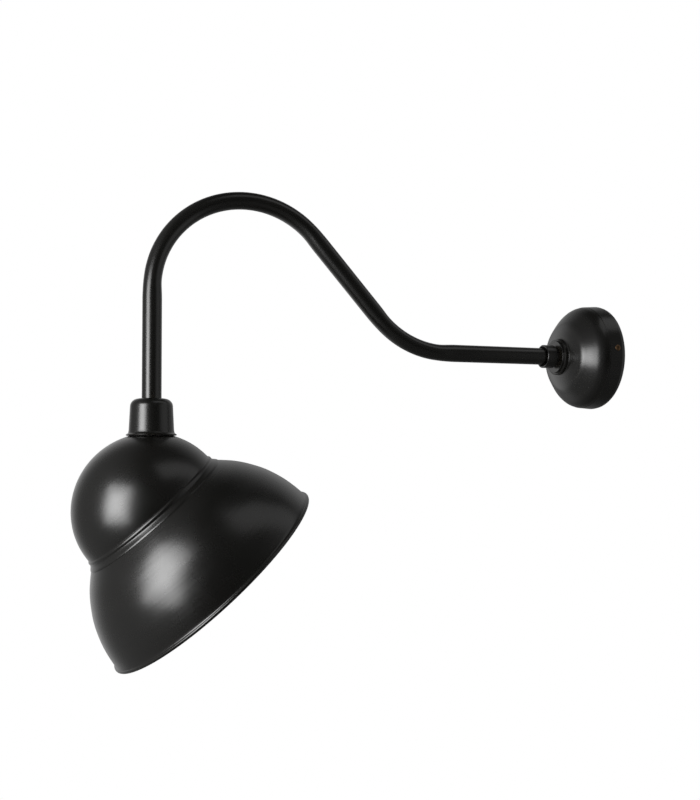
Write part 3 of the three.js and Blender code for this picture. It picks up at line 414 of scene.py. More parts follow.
finishLooks["spunPaint"] = {**finishLooks["blackPaint"], "peel": 0.02, "spun": 10.0, "spunScale": 330,
                            "spunStretch": (60, 60, 1)}

paint = {
    "blackPaint": satinPaint("blackPaint", finishLooks["blackPaint"]),
    "spunPaint": satinPaint("spunPaint", finishLooks["spunPaint"]),
    "insideWhite": sprayedEnamel("insideWhite", finishLooks["insideWhite"]),
    "opalGlass": opalGlassSkin("opalGlass", finishLooks["opalGlass"]),
}
for metal in ("zincSteel", "darkBronze", "brass", "shellAluminium"):
    paint[metal] = platedMetal(metal, finishLooks[metal])
for moulded in ("blackPlastic", "whiteCeramic", "greyRubber", "creamPlastic", "blackCable",
                "brownCore", "blueCore", "earthGreen", "blackGlass"):
    paint[moulded] = mouldedSkin(moulded, finishLooks[moulded])
print("finishes made:", len(paint))


# Arm

arm = {"reach": lampOut, "legRise": 61.5, "legDrop": 61.5, "crest": 107, "dip": 114,
       "slope": math.radians(49), "radius": 10.65, "wall": 1.6, "tail": 45, "crestFlat": 0.075,
       "dipFlat": 0.08, "widen": 0.6, "ease": 25, "sides": 72, "step": 4, "legStep": 3,
       "bendStep": math.radians(1.5)}
grubHole = {"height": 4.8, "radius": 2.2, "from": 4, "to": 20, "sides": 32}


# Points, directions and flattening along the tube's centreline, in the plane x = 0
def armLine():
    slope, crest, dip = arm["slope"], arm["crest"], arm["dip"]
    rise = arm["legRise"] + crest * math.cos(slope)
    slopeLength = (rise - dip * (1 - math.cos(slope))) / math.sin(slope)
    crestY = -arm["reach"] + crest
    topY = crestY + crest * math.sin(slope)
    lowY = topY + slopeLength * math.cos(slope)
    lowZ = rise - slopeLength * math.sin(slope)
    dipY = lowY + dip * math.sin(slope)
    line = []

    def straight(start, end, step):
        a, b = Vector(start), Vector(end)
        count = max(2, round((b - a).length / step))
        for k in range(count):
            line.append((a.lerp(b, k / count), (b - a).normalized()))

    def bend(centre, radius, first, last):
        count = round(abs(last - first) / arm["bendStep"])
        for k in range(count):
            angle = first + (last - first) * k / count
            turn = 1 if last > first else -1
            place = Vector((centre[0] + radius * math.cos(angle), centre[1] + radius * math.sin(angle)))
            line.append((place, Vector((-math.sin(angle), math.cos(angle))) * turn))

    straight((-arm["tail"], 0), (dipY, 0), arm["step"])
    bend((dipY, dip), dip, -quarter, -quarter - slope)
    straight((lowY, lowZ), (topY, rise), arm["step"])
    bend((crestY, arm["legRise"]), crest, quarter - slope, math.pi)
    straight((-arm["reach"], arm["legRise"]), (-arm["reach"], -arm["legDrop"]), arm["legStep"])
    line.append((Vector((-arm["reach"], -arm["legDrop"])), Vector((0, -1))))

    # The bends' starts and ends, measured along the line: the tube is flattened between them
    dipStart = -arm["tail"] - dipY
    dipEnd = dipStart + dip * slope
    crestStart = dipEnd + slopeLength
    crestEnd = crestStart + crest * (quarter + slope)
    bends = ((dipStart, dipEnd, arm["dipFlat"]), (crestStart, crestEnd, arm["crestFlat"]))
    travelled = 0
    stations = []
    for i, (place, along) in enumerate(line):
        if i:
            travelled += (place - line[i - 1][0]).length
        share = 0
        for start, end, flat in bends:
            into = softStep((travelled - start) / arm["ease"] + 0.5)
            past = softStep((travelled - end) / arm["ease"] + 0.5)
            share += flat * into * (1 - past)
        stations.append((Vector((0, place.x, place.y)), Vector((0, along.x, along.y)), share))
    return stations


def makeArm():
    side = Vector((1, 0, 0))
    skins = []
    for radius in (arm["radius"], arm["radius"] - arm["wall"]):
        rings = []
        for place, along, share in armLine():
            up = side.cross(along).normalized()
            wide, high = radius * (1 + share * arm["widen"]), radius * (1 - share)
            ring = []
            for k in range(arm["sides"]):
                angle = fullTurn * k / arm["sides"]
                ring.append(place + side * wide * math.cos(angle) + up * high * math.sin(angle))
            rings.append(ring)
        skins.append(rings)
    bm = bmesh.new()
    skinRings(bm, skins[0] + skins[1][::-1])
    tube = looseObject("armTube", bm, paint["blackPaint"])
    g = grubHole
    seat = crossSeat(-arm["reach"], g["height"] - arm["legDrop"])
    carve(tube, looseObject("grubCut", rod(seat, g["radius"], g["from"], g["to"], g["sides"])))
    finishPiece(tube, fixed, "gooseneck_arm")


makeArm()
print("arm made")


# Canopy, collar and flange

canopy = {"rim": 65.5, "tuck": 2.1, "tuckDepth": 5, "tuckBend": 0.35, "draft": 1.2, "rimDepth": 21.5,
          "step": 0.4, "stepDepth": 0.5, "stepLap": 0.1, "depth": 58, "seat": 22.2, "wall": 1.2,
          "bore": 10.95, "stepFillet": 0.25, "frontFillet": 0.8, "sideFillet": 4, "tuckFillet": 3,
          "seatFillet": 0.4, "stepOut": 0.2, "guide": 30, "guideRise": 6, "seatGuide": 5, "seatReach": 2,
          "rimSteps": 6, "seatSteps": 3, "bellSteps": 8, "sides": 160,
          "bell": [[1, 0], [0.9, 0.003], [0.869, 0.012], [0.849, 0.05], [0.833, 0.12], [0.806, 0.216],
                   [0.77, 0.319], [0.734, 0.403], [0.699, 0.463], [0.649, 0.523], [0.578, 0.595],
                   [0.433, 0.739], [0.301, 0.859], [0.175, 0.943], [0.085, 0.983], [0, 1]]}


def makeCanopy():
    c = canopy
    front = c["rim"] - c["draft"]
    bellRim = front - c["step"]
    bell = splineThrough([
        (c["seat"] + across * (bellRim - c["seat"]), c["rimDepth"] + down * (c["depth"] - c["rimDepth"]))
        for down, across in c["bell"]], c["bellSteps"])
    # The first and last corners only steer the fillets beside them and are cut off again
    rim = roundCorners([
        (c["rim"] - c["guide"], c["rimDepth"] + c["guideRise"]),
        (bellRim + c["stepOut"], c["rimDepth"] - c["stepLap"], c["stepFillet"]),
        (front, c["rimDepth"] - c["stepDepth"] - c["stepLap"], c["frontFillet"]),
        (c["rim"], c["tuckDepth"], c["sideFillet"]),
        (c["rim"] - c["tuck"] * c["tuckBend"], c["tuckDepth"] * c["tuckBend"], c["tuckFillet"]),
        (c["rim"] - c["tuck"], 0),
        (c["rim"] - c["guide"], 0)], c["rimSteps"])[1:-1]
    seatEdge = roundCorners([
        (c["bore"], c["depth"] - c["seatGuide"]), (c["bore"], c["depth"], c["seatFillet"]),
        (c["seat"] + c["seatReach"], c["depth"])], c["seatSteps"])[1:-1]
    outer = seatEdge + bell + rim
    inner = offsetLine([Vector((c["bore"], c["depth"]))] + bell + rim, -c["wall"])
    inner = [Vector((p.x, max(p.y, 0))) for p in inner]
    inner[0] = Vector((c["bore"], c["depth"] - c["wall"]))
    turnPiece("canopyShell", wallSeat, outer + inner[::-1], paint["blackPaint"], fixed, "canopy",
              c["sides"], sharp=50)


hub = {"bore": 10.95, "flange": 20.5, "flangeBack": 58.3, "flangeFront": 61.3, "neck": 13.2,
       "collarBack": 61.6, "ringBack": 65, "ring": 14.75, "front": 78.2, "bevel": 0.5, "recess": 12.8,
       "recessDepth": 4, "neckFillet": 0.15, "fillet": 0.3, "edgeFillet": 0.25, "flangeFillet": 0.2,
       "flangeFrontFillet": 0.35, "sides": 128}


def makeHub():
    h = hub
    recessBack = h["front"] - h["recessDepth"]
    collar = roundCorners([
        (h["bore"], h["collarBack"]), (h["neck"], h["collarBack"], h["neckFillet"]),
        (h["neck"], h["ringBack"], h["fillet"]), (h["ring"], h["ringBack"], h["edgeFillet"]),
        (h["ring"], h["front"] - h["bevel"], h["fillet"]), (h["ring"] - h["bevel"], h["front"], h["fillet"]),
        (h["recess"], h["front"], h["edgeFillet"]), (h["recess"], recessBack, h["fillet"]),
        (h["bore"], recessBack)])
    turnPiece("collarRing", wallSeat, collar, paint["blackPaint"], fixed, "hub_collar",
              h["sides"])
    flange = roundCorners([
        (h["bore"], h["flangeBack"]), (h["flange"], h["flangeBack"], h["flangeFillet"]),
        (h["flange"], h["flangeFront"], h["flangeFrontFillet"]), (h["bore"], h["flangeFront"])])
    turnPiece("flangeDisc", wallSeat, flange, paint["blackPaint"], fixed, "hub_flange",
              h["sides"])


makeCanopy()
makeHub()
print("canopy, collar and flange made")


# Side screws

sideScrew = {"tilt": math.radians(-4.5), "depth": 11, "seat": 65.366, "radius": 1.9, "length": 14,
             "point": 0.3, "pointLength": 0.5, "head": 3.8, "height": 2.3, "headRim": 0.5,
             "undercut": 0.15, "domeSteps": 8, "slotWidth": 0.9, "slotDepth": 1, "cutDepth": 4,
             "cutLength": 12, "sides": 48}


def makeSideScrew(name, standsFor, way):
    s = sideScrew
    tip, top = s["seat"] - s["length"], s["seat"] + s["height"]
    dome = []
    for k in range(s["domeSteps"] + 1):
        angle = quarter * k / s["domeSteps"]
        rise = s["headRim"] + (s["height"] - s["headRim"]) * math.sin(angle)
        dome.append((s["head"] * math.cos(angle), s["seat"] + rise))
    outline = [(0, tip), (s["radius"] - s["point"], tip), (s["radius"], tip + s["pointLength"]),
               (s["radius"], s["seat"]), (s["head"] - s["undercut"], s["seat"]), *dome]
    seat = crossSeat(-s["depth"], 0, way)
    bm = bmesh.new()
    skinRings(bm, [ringAt(seat, radius, height, s["sides"]) for radius, height in outline], closed=False)
    screw = looseObject(name, bm, paint["darkBronze"])
    middle = seat["origin"] + seat["axis"] * (top - s["slotDepth"] + s["cutDepth"] / 2)
    size = Matrix.Diagonal((s["cutDepth"] * mm, s["slotWidth"] * mm, s["cutLength"] * mm, 1))
    slot = bmesh.new()
    bmesh.ops.create_cube(slot, size=1, matrix=Matrix.Translation(middle * mm) @ size)
    carve(screw, looseObject("slotCut", slot))
    screw.data.transform(Matrix.Rotation(s["tilt"], 4, "Y"))
    finishPiece(screw, fixed, standsFor)


makeSideScrew("sideScrewRight", "canopy_screw_right", 1)
makeSideScrew("sideScrewLeft", "canopy_screw_left", -1)
print("side screws made")


# Cap at the arm's end, with the grub screw

cap = {"top": -61.8, "radius": 23.0, "shoulder": 8.6, "taper": 1.2, "lip": -101.0, "flare": 3.1,
       "flareHeight": 6.2, "flareShares": [[0, 1], [0.08, 0.62], [0.3, 0.26], [1, 0]], "wall": 1.2,
       "bore": 5.0, "edge": 0.25, "shoulderSteps": 14, "wallSteps": 8, "flareSteps": 5, "sides": 144}


def makeCap():
    c = cap
    centre = Vector((c["radius"] - c["shoulder"], c["top"] - c["shoulder"]))
    shoulder = []
    for k in range(c["shoulderSteps"] + 1):
        angle = quarter * (1 - k / c["shoulderSteps"])
        shoulder.append(centre + Vector((math.cos(angle), math.sin(angle))) * c["shoulder"])
    foot = c["radius"] + c["taper"]
    flareTop = Vector((foot, c["lip"] + c["flareHeight"]))
    wall = [shoulder[-1].lerp(flareTop, k / c["wallSteps"]) for k in range(1, c["wallSteps"])]
    flare = splineThrough([(foot + out * c["flare"], c["lip"] + up * c["flareHeight"])
                           for out, up in c["flareShares"]], c["flareSteps"])
    outer = [Vector((c["bore"], c["top"]))] + shoulder + wall + flare
    inner = offsetLine(outer, c["wall"])
    edge = outer[-1].lerp(inner[-1], 0.5) + (outer[-1] - outer[-2]).normalized() * c["edge"]
    turnPiece("capBell", headSeat, outer + [edge] + inner[::-1], paint["blackPaint"], fixed, "socket_cap",
              c["sides"], sharp=60)


grub = {"radius": 1.9, "height": -56.7, "end": 5.75, "top": 10.15, "sides": 32, "socket": 0.9,
        "socketDepth": 1.2, "socketSides": 6, "cutOver": 2}


def makeGrubScrew():
    g = grub
    seat = crossSeat(-lampOut, g["height"])
    body = rod(seat, g["radius"], g["end"], g["top"], g["sides"])
    screw = looseObject("grubScrew", body, paint["blackPaint"])
    socket = rod(seat, g["socket"], g["top"] - g["socketDepth"], g["top"] + g["cutOver"], g["socketSides"])
    carve(screw, looseObject("socketCut", socket))
    finishPiece(screw, fixed, "neck_grub_screw")


makeCap()
makeGrubScrew()
print("cap made")


# Shade: one spun sheet on an axis tilted toward the wall

shade = {"centre": -182.22, "dome": 83.3, "domeRings": 56, "wall": 1.2, "land": -102.6, "hole": 20.5,
         "foot": -3.2, "ridgeLength": 10.0, "ridgeTop": 89.0,
         "ridge": [[0.11, 0.2], [0.26, 0.31], [0.44, 0.28], [0.56, 0.38], [0.74, 0.65], [0.88, 0.88], [1, 1]],
         "bandEnd": 7.1, "bandTop": 89.05, "groove": 0.2, "bowlLength": 94.1, "bowlRise": 46.95,
         "bowl": [[0.054, 0.106], [0.159, 0.309], [0.287, 0.501], [0.455, 0.701], [0.647, 0.855],
                  [0.817, 0.943], [1, 1]],
         "roll": 2, "rollGap": 1.02, "liningLap": 3, "ridgeSteps": 5, "bandSteps": 4, "bowlSteps": 8,
         "rollSteps": 24, "sides": 192}


def makeShade():
    s = shade
    side = Vector((1, 0, 0))
    centre = Vector((0, -lampOut, s["centre"]))
    axis = Vector((0, math.sin(shadeTilt), -math.cos(shadeTilt)))
    tiltedSeat = {"origin": centre, "axis": axis, "side": side}
    levelSeat = {"origin": headSeat["origin"], "axis": Vector((0, 0, -1)), "side": side}

    def tilted(radius, along):
        return ringAt(tiltedSeat, radius, along, s["sides"])

    def level(radius, height):
        return ringAt(levelSeat, radius, -height, s["sides"])

    # The dome between its flat land and the foot of the ridge, every point on one sphere
    def domeRings(radius, landHeight):
        high = landHeight - s["centre"]
        top = level(math.sqrt(radius ** 2 - high ** 2), landHeight)
        foot = tilted(math.sqrt(radius ** 2 - s["foot"] ** 2), s["foot"])
        rings = []
        for i in range(s["domeRings"] + 1):
            share = i / s["domeRings"]
            ring = []
            for a, b in zip(top, foot):
                u, v = (a - centre).normalized(), (b - centre).normalized()
                ring.append(centre + u.slerp(v, share) * radius)
            rings.append(ring)
        return rings

    footRadius = math.sqrt(s["dome"] ** 2 - s["foot"] ** 2)
    ridge = [(footRadius, s["foot"])] + [
        (footRadius + rise * (s["ridgeTop"] - footRadius), s["foot"] + run * s["ridgeLength"])
        for run, rise in s["ridge"]]
    ridge = splineThrough(ridge, s["ridgeSteps"])
    band = [Vector((s["bandTop"], s["bandEnd"])),
            Vector((s["bandTop"] - s["groove"], s["bandEnd"] + s["groove"]))]
    band = [ridge[-1].lerp(band[0], k / s["bandSteps"]) for k in range(1, s["bandSteps"])] + band
    bowl = splineThrough([(s["bandTop"] + rise * s["bowlRise"], s["bandEnd"] + run * s["bowlLength"])
                          for run, rise in s["bowl"]], s["bowlSteps"])
    outer = ridge[1:] + band + bowl
    inner = offsetLine([ridge[0]] + outer, -s["wall"])[1:]

    # The rolled rim stands round the line's last point, from the outer skin to the inner one
    rim = outer[-1]
    outer = [p for p in outer if (p - rim).length > s["roll"] * s["rollGap"]]
    inner = [p for p in inner if (p - rim).length > s["roll"] * s["rollGap"]]
    start = math.atan2(outer[-1].y - rim.y, outer[-1].x - rim.x)
    end = math.atan2(inner[-1].y - rim.y, inner[-1].x - rim.x)
    turn = (end - start) % fullTurn
    if turn < math.pi:
        turn -= fullTurn
    roll = []
    for k in range(1, s["rollSteps"]):
        angle = start + turn * k / s["rollSteps"]
        roll.append(rim + Vector((math.cos(angle), math.sin(angle))) * s["roll"])

    rings = [level(s["hole"], s["land"])]
    rings += domeRings(s["dome"], s["land"])
    blackRings = len(rings) + len(outer) + len(roll) - s["liningLap"]
    rings += [tilted(p.x, p.y) for p in outer + roll + inner[::-1]]
    rings += domeRings(s["dome"] - s["wall"], s["land"] - s["wall"])[::-1]
    rings.append(level(s["hole"], s["land"] - s["wall"]))
    bm = bmesh.new()
    skinRings(bm, rings, paintFrom=[0 if i < blackRings else 1 for i in range(len(rings))])
    shell = looseObject("shadeShell", bm, paint["spunPaint"], paint["insideWhite"])
    finishPiece(shell, "shade", "shade", 60)


makeShade()
print("shade made")


# Lampholder, its ring and washer

holder = {"radius": 20, "top": -67.6, "roof": 2.6, "boss": 8, "bossDepth": 4.9, "capBottom": -90,
          "bore": 5, "wall": 1.8, "seam": 0.3, "skirtTop": -82.6, "bottom": -128, "inner": 15.2,
          "neck": 17.9, "flangeLow": -101.2, "flangeHigh": -99, "flange": 22, "topFillet": 2.4,
          "roofFillet": 0.8, "footFillet": 1.0, "lipFillet": 0.4, "flangeFillet": 0.5, "fillet": 0.3,
          "innerFillet": 0.2, "sides": 96}


def makeLampholder():
    h = holder
    capIn = h["radius"] - h["wall"]
    roof, boss, seam = h["top"] - h["roof"], h["top"] - h["bossDepth"], h["capBottom"] - h["seam"]
    top = roundCorners([
        (h["bore"], h["top"]), (h["radius"], h["top"], h["topFillet"]),
        (h["radius"], h["capBottom"], h["fillet"]), (capIn, h["capBottom"]),
        (capIn, roof, h["roofFillet"]), (h["boss"], roof, h["fillet"]),
        (h["boss"], boss, h["fillet"]), (h["bore"], boss)])
    turnPiece("holderCap", headSeat, top, paint["blackPlastic"], fixed, "lampholder_cap",
              h["sides"])
    skirt = roundCorners([
        (h["inner"], h["skirtTop"]), (h["inner"], h["bottom"], h["lipFillet"]),
        (h["radius"], h["bottom"], h["footFillet"]), (h["radius"], h["flangeLow"], h["innerFillet"]),
        (h["flange"], h["flangeLow"], h["fillet"]), (h["flange"], h["flangeHigh"], h["flangeFillet"]),
        (h["radius"], h["flangeHigh"], h["fillet"]), (h["radius"], seam, h["fillet"]),
        (h["neck"], seam, h["innerFillet"]), (h["neck"], h["skirtTop"], h["fillet"])])
    turnPiece("holderSkirt", headSeat, skirt, paint["blackPlastic"], fixed, "lampholder_skirt",
              h["sides"])


ring = {"bore": 20.3, "top": -104.1, "hub": 22.3, "flangeHigh": -106.5, "flangeLow": -112.0, "radius": 28,
        "notches": 12, "notch": 1.4, "notchReach": 3, "fillet": 1.0, "boreFillet": 0.4, "hubFillet": 0.2,
        "sides": 288}


def makeShadeRing():
    r = ring

    def notches(angle, height):
        step = fullTurn / r["notches"]
        off = (angle + step / 2) % step - step / 2
        across = r["radius"] * math.sin(off)
        return math.sqrt(max(r["notch"] ** 2 - across ** 2, 0))

    outline = roundCorners([
        (r["bore"], r["flangeLow"], r["boreFillet"]), (r["radius"], r["flangeLow"], r["fillet"]),
        (r["radius"], r["flangeHigh"], r["fillet"]), (r["hub"], r["flangeHigh"], r["hubFillet"]),
        (r["hub"], r["top"], r["hubFillet"]), (r["bore"], r["top"])])
    rings = []
    for p in outline:
        dent = notches if p.x > r["radius"] - r["notchReach"] else None
        rings.append(ringAt(headSeat, p.x, p.y, r["sides"], dent))
    bm = bmesh.new()
    skinRings(bm, rings)
    holdingRing = looseObject("holdingRing", bm, paint["blackPlastic"])
    finishPiece(holdingRing, fixed, "shade_ring", 40)


washer = {"bore": 20.5, "radius": 23.7, "low": -102.3, "high": -101.5, "fillet": 0.2, "steps": 3, "sides": 96}


def makeWasher():
    w = washer
    outline = roundCorners([
        (w["bore"], w["low"]), (w["radius"], w["low"], w["fillet"]),
        (w["radius"], w["high"], w["fillet"]), (w["bore"], w["high"])], w["steps"])
    turnPiece("rubberWasher", headSeat, outline, paint["greyRubber"], fixed, "shade_washer",
              w["sides"])


screwShell = {"top": -99.2, "length": 24.5, "radius": 14.3, "inner": 13.75, "thread": 0.55, "pitch": 3.63,
              "rows": 120, "fadeRows": 20, "sides": 72}


def makeScrewShell():
    s = screwShell
    outer, inner = [], []
    for k in range(s["rows"] + 1):
        z = s["top"] - s["length"] * k / s["rows"]
        fade = min(k, s["rows"] - k, s["fadeRows"]) / s["fadeRows"]
        wave = threadWave(s["thread"] * fade, s["pitch"], 1)
        outer.append(ringAt(headSeat, s["radius"], z, s["sides"], wave))
        inner.append(ringAt(headSeat, s["inner"], z, s["sides"], wave))
    bm = bmesh.new()
    skinRings(bm, outer + inner[::-1])
    shell = looseObject("threadedShell", bm, paint["brass"])
    finishPiece(shell, fixed, "screw_shell", 40, even=False)


makeLampholder()
makeShadeRing()
makeWasher()
makeScrewShell()
print("lampholder made")


# Bulb

bulb = {"top": -98.7, "tipHeight": 1.7, "tip": 3.6, "tipShare": 0.8, "tipFillets": (0.4, 0.6),
        "tipSides": 48, "baseTop": -102.85, "baseLow": -126.35, "base": 12.4, "thread": 0.75,
        "pitch": 3.63, "threadTurns": 5, "turnRows": 16, "fadeRows": 14, "shrink": 0.5, "shrinkRows": 8,
        "skirt": [[0.4, 0.35], [0.9, 0.75]], "foot": [[0.5, 0.75], [0, 0.45]], "wall": 0.7, "globe": 30,
        "low": -206.7, "globeTop": -126.65, "neckTop": -120.35, "neck": 11.1, "skinSteps": 10,
        "steps": 4, "sides": 96,
        "shape": [[0, 0.435], [0.1, 0.49], [0.25, 0.66], [0.42, 0.88], [0.61, 0.998], [0.78, 0.93],
                  [0.9, 0.7], [0.97, 0.38], [1, 0]]}
insulator = {"lift": 0.3, "foot": 9.8, "footFillet": 0.5, "shoulder": 5.0, "drop": 0.85,
             "shoulderFillet": 0.4, "bore": 3.9, "boreDepth": 2, "sides": 64}


def makeBulbContact():
    b, i = bulb, insulator
    low = b["top"] - b["tipHeight"]
    tip = roundCorners([
        (0, low), (b["tip"], low, b["tipFillets"][0]),
        (b["tip"] * b["tipShare"], b["top"], b["tipFillets"][1]), (0, b["top"])], b["steps"])
    turnPiece("bulbTip", headSeat, tip, paint["zincSteel"], "bulb_carrier", "bulb_contact",
              b["tipSides"])
    foot, shoulder, bore = b["baseTop"] + i["lift"], b["top"] - i["drop"], b["top"] - i["boreDepth"]
    collar = roundCorners([
        (0, foot), (i["foot"], foot, i["footFillet"]), (i["shoulder"], shoulder, i["shoulderFillet"]),
        (i["bore"], shoulder), (i["bore"], bore), (0, bore)], b["steps"])
    turnPiece("bulbInsulator", headSeat, collar, paint["blackGlass"], "bulb", "bulb_insulator",
              i["sides"])


def makeBulbBase():
    b = bulb
    threadLow = b["baseTop"] - b["threadTurns"] * b["pitch"]
    rows = b["threadTurns"] * b["turnRows"]
    rings = []
    for k in range(rows + 1):
        z = b["baseTop"] - (b["baseTop"] - threadLow) * k / rows
        fade = min(k, rows - k, b["fadeRows"]) / b["fadeRows"]
        wave = threadWave(-b["thread"] * fade, b["pitch"], -1)
        shrink = b["shrink"] * softStep(1 - k / b["shrinkRows"])
        rings.append(ringAt(headSeat, b["base"] - shrink, z, b["sides"], wave))
    skirt = [(threadLow - down, b["base"] + out) for down, out in b["skirt"]]
    skirt += [(b["baseLow"] + up, b["base"] + out) for up, out in b["foot"]]
    inner, innerTop = b["base"] - b["wall"], b["baseTop"] - b["wall"]
    skirt += [(b["baseLow"], inner), (innerTop, inner), (innerTop, 0), (b["baseTop"], 0)]
    rings += [ringAt(headSeat, radius, z, b["sides"]) for z, radius in skirt]
    bm = bmesh.new()
    skinRings(bm, rings)
    base = looseObject("bulbBase", bm, paint["shellAluminium"])
    finishPiece(base, "bulb", "bulb_screw_base", 50, even=False)


def makeBulbGlobe():
    b = bulb
    length = b["globeTop"] - b["low"]
    skin = splineThrough([(out * b["globe"], b["globeTop"] - down * length) for down, out in b["shape"]],
                         b["skinSteps"])
    neck = [(0, b["neckTop"]), (b["neck"], b["neckTop"]), (b["neck"], b["globeTop"])]
    turnPiece("bulbGlobe", headSeat, neck + skin, paint["opalGlass"], "bulb", "bulb_globe",
              b["sides"])


makeBulbContact()
makeBulbBase()
makeBulbGlobe()
print("bulb made")


# Finishes of the CAD pieces that stay

poles = ("live", "neutral", "earth")
clampScrews = [f"clamp_screw_{row}_{pole}" for row in ("lamp", "supply") for pole in poles]
finishOf = {
    "zincSteel": ["arm_washer", "arm_locknut", "wall_bracket", "block_fixing_screw", "arm_plug",
                  "cap_locknut"],
    "blackPlastic": ["tube_end_bush"],
    "creamPlastic": ["terminal_block"],
    "brass": ["earth_screw", "head_nipple", "terminal_screw_live", "terminal_screw_neutral",
              "centre_contact", *clampScrews],
    "brownCore": ["block_core_live", "head_core_live"],
    "blueCore": ["block_core_neutral", "head_core_neutral"],
    "earthGreen": ["earth_core"],
    "blackCable": ["arm_cable"],
    "whiteCeramic": ["lampholder_core"],
}
for finishName, names in finishOf.items():
    for name in names:
        for slot in nodes[name].material_slots:
            slot.material = paint[finishName]
print("kept pieces painted")


# Camera, floor and lights

camera = {"place": (0.991321, -0.68653, -0.137654), "yaw": 70.73, "pitch": 4.244, "roll": -0.606,
          "lens": 40.164, "sensor": 36, "clip": (0.02, 60)}


def placeCamera():
    yaw, pitch, roll = (math.radians(camera[k]) for k in ("yaw", "pitch", "roll"))
    ahead = Vector((-math.sin(yaw) * math.cos(pitch), math.cos(yaw) * math.cos(pitch), math.sin(pitch)))
    right = ahead.cross(Vector((0, 0, 1))).normalized()
    up = right.cross(ahead)
    turnedRight = right * math.cos(roll) + up * math.sin(roll)
    turnedUp = up * math.cos(roll) - right * math.sin(roll)
    data = bpy.data.cameras.new("viewCamera")
    data.lens = camera["lens"]
    data.sensor_width = camera["sensor"]
    data.clip_start, data.clip_end = camera["clip"]
    viewer = bpy.data.objects.new("viewCamera", data)
    matrix = Matrix((turnedRight, turnedUp, -ahead)).transposed().to_4x4()
    matrix.translation = Vector(camera["place"])
    viewer.matrix_world = matrix
    scene.collection.objects.link(viewer)
    scene.camera = viewer


stage = {"floorPlace": (0, -0.35, -0.9), "floorSize": 9, "fadeStart": 0.5, "fadeEnd": 1.0,
         "floorColor": (0.8, 0.8, 0.8), "floorParts": 8, "ambient": 0.82}


# A factor that is 1 for camera, glossy and transmission rays
def backgroundRays(board):
    path = board.add("ShaderNodeLightPath").outputs
    seen = board.combine("MAXIMUM", path["Is Camera Ray"], path["Is Glossy Ray"])
    return board.combine("MAXIMUM", seen, path["Is Transmission Ray"])


def makeWorld():
    scene.world = bpy.data.worlds.new("studioWorld")
    board = NodeBoard(scene.world, clear=True)
    white = (1, 1, 1, 1)
    soft = board.add("ShaderNodeBackground", {"Color": white, "Strength": stage["ambient"]}).outputs[0]
    plain = board.add("ShaderNodeBackground", {"Color": white, "Strength": 1.0}).outputs[0]
    board.add("ShaderNodeOutputWorld", {"Surface": board.mixShaders(backgroundRays(board), soft, plain)})


# A pale floor that keeps the object's shadow, runs out to plain white and is clear from below
def makeFloor():
    s = stage
    floorPaint = bpy.data.materials.new("paleFloor")
    board = NodeBoard(floorPaint, clear=True)
    matte = board.add("ShaderNodeBsdfDiffuse", {"Color": (*s["floorColor"], 1)}).outputs[0]
    glow = board.add("ShaderNodeEmission", {"Strength": 1.0}).outputs[0]
    away = board.add("ShaderNodeVectorMath", {0: board.objectPlace()}, operation="LENGTH").outputs["Value"]
    fade = board.remap(away, s["fadeStart"], s["fadeEnd"], interpolation_type="SMOOTHSTEP")
    pale = board.mixShaders(board.combine("MULTIPLY", fade, backgroundRays(board)), matte, glow)
    fromBelow = board.add("ShaderNodeNewGeometry").outputs["Backfacing"]
    clear = board.add("ShaderNodeBsdfTransparent").outputs[0]
    board.add("ShaderNodeOutputMaterial", {"Surface": board.mixShaders(fromBelow, pale, clear)})
    bm = bmesh.new()
    bmesh.ops.create_grid(bm, x_segments=s["floorParts"], y_segments=s["floorParts"], size=s["floorSize"] / 2)
    floor = looseObject("paleFloor", bm, floorPaint)
    floor.location = s["floorPlace"]
    floor.visible_glossy = False


# Each ramp: where it starts and ends on the unit sphere, then its two strengths when not 0 and 1
tent = {"centre": (0, -0.35, -0.1), "radius": 3.2, "turn": math.radians(70.762), "rings": 24,
        "back": (0.28, 1.2, 0.06, 1.18), "behind": (-0.6, -0.15), "behindDark": (-0.25, 0.4, 0.82, 0.54),
        "below": (-0.75, -0.22, 0.4, 1.0), "leftLift": (0, -1, 0, 0.12), "rightLift": (0.7, 0.95, 0, 0.19),
        "floorLift": (-0.1, -0.7, 0, 0.045)}


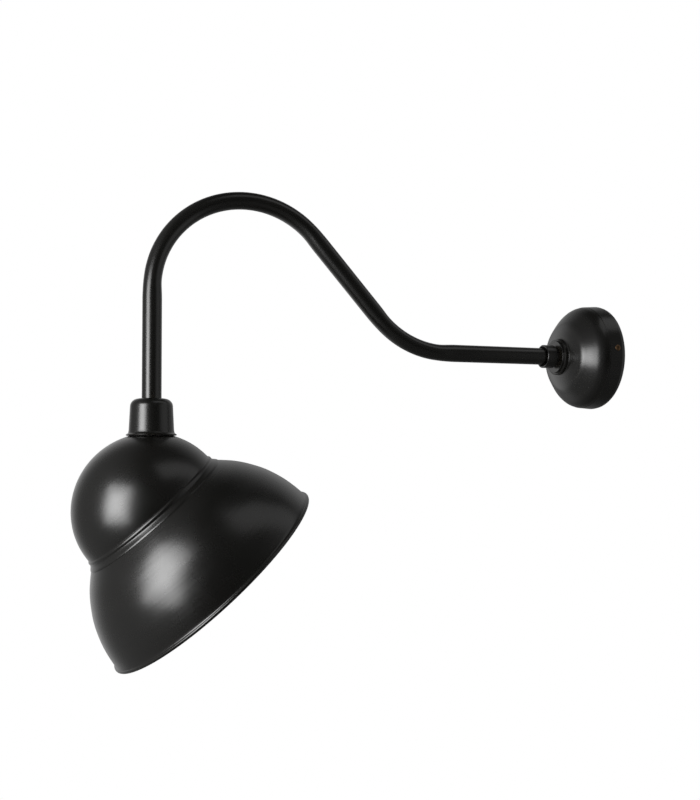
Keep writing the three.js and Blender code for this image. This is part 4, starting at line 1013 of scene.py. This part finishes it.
# A dark tent round the set, seen only in reflections: a pale panel behind the lamp on its left side,
# dim cloth straight behind and below, near black behind the camera, a little lighter at both sides
def makeTent():
    t = tent
    cloth = bpy.data.materials.new("tentCloth")
    board = NodeBoard(cloth, clear=True)
    parts = board.add("ShaderNodeSeparateXYZ", {0: board.objectPlace()}).outputs

    def ramp(axis, name):
        return board.remap(parts[axis], *t[name], interpolation_type="SMOOTHSTEP")

    hidden = board.combine("MULTIPLY", ramp("X", "behind"), ramp("Z", "behindDark"))
    light = board.combine("MULTIPLY", ramp("Y", "back"), board.combine("SUBTRACT", 1.0, hidden))
    light = board.combine("MULTIPLY", light, ramp("Z", "below"))
    for axis, name in (("X", "leftLift"), ("X", "rightLift"), ("Z", "floorLift")):
        light = board.combine("ADD", light, ramp(axis, name))
    glow = board.add("ShaderNodeEmission", {"Strength": light}).outputs[0]
    board.add("ShaderNodeOutputMaterial", {"Surface": glow})
    bm = bmesh.new()
    bmesh.ops.create_uvsphere(bm, u_segments=t["rings"] * 2, v_segments=t["rings"], radius=1)
    shell = looseObject("darkTent", bm, cloth)
    shell.location = t["centre"]
    shell.scale = (t["radius"], t["radius"], t["radius"])
    shell.rotation_euler = (0, 0, t["turn"])
    shell.visible_camera = False
    shell.visible_diffuse = False
    shell.visible_transmission = False
    shell.visible_shadow = False


softBox = {"aim": (0, -0.57, -0.18), "toward": (0.575, -0.82, 0.158), "distance": 0.9, "width": 0.6,
           "height": 0.8, "power": 4.5}
hotSpot = {**softBox, "distance": 0.89, "width": 0.33, "height": 0.44, "power": 0.95}  # its bright middle
fillBox = {"aim": (0.25, 0.66, 0), "toward": (0.1, 0.05, 1.0), "distance": 1.2, "width": 2.5, "height": 0.75,
           "power": 1.6}


def placeLamp(name, lamp):
    data = bpy.data.lights.new(name, "AREA")
    data.shape = "RECTANGLE"
    data.size, data.size_y = lamp["width"], lamp["height"]
    data.energy = lamp["power"]
    box = bpy.data.objects.new(name, data)
    toward = Vector(lamp["toward"]).normalized()
    box.location = Vector(lamp["aim"]) + toward * lamp["distance"]
    box.rotation_mode = "QUATERNION"
    box.rotation_quaternion = toward.to_track_quat("Z", "Y")
    box.visible_camera = False
    scene.collection.objects.link(box)


placeCamera()
makeWorld()
makeFloor()
makeTent()
placeLamp("softBox", softBox)
placeLamp("hotSpot", hotSpot)
placeLamp("fillBox", fillBox)
scene.view_settings.view_transform = "Standard"
print("camera, floor and lights placed")
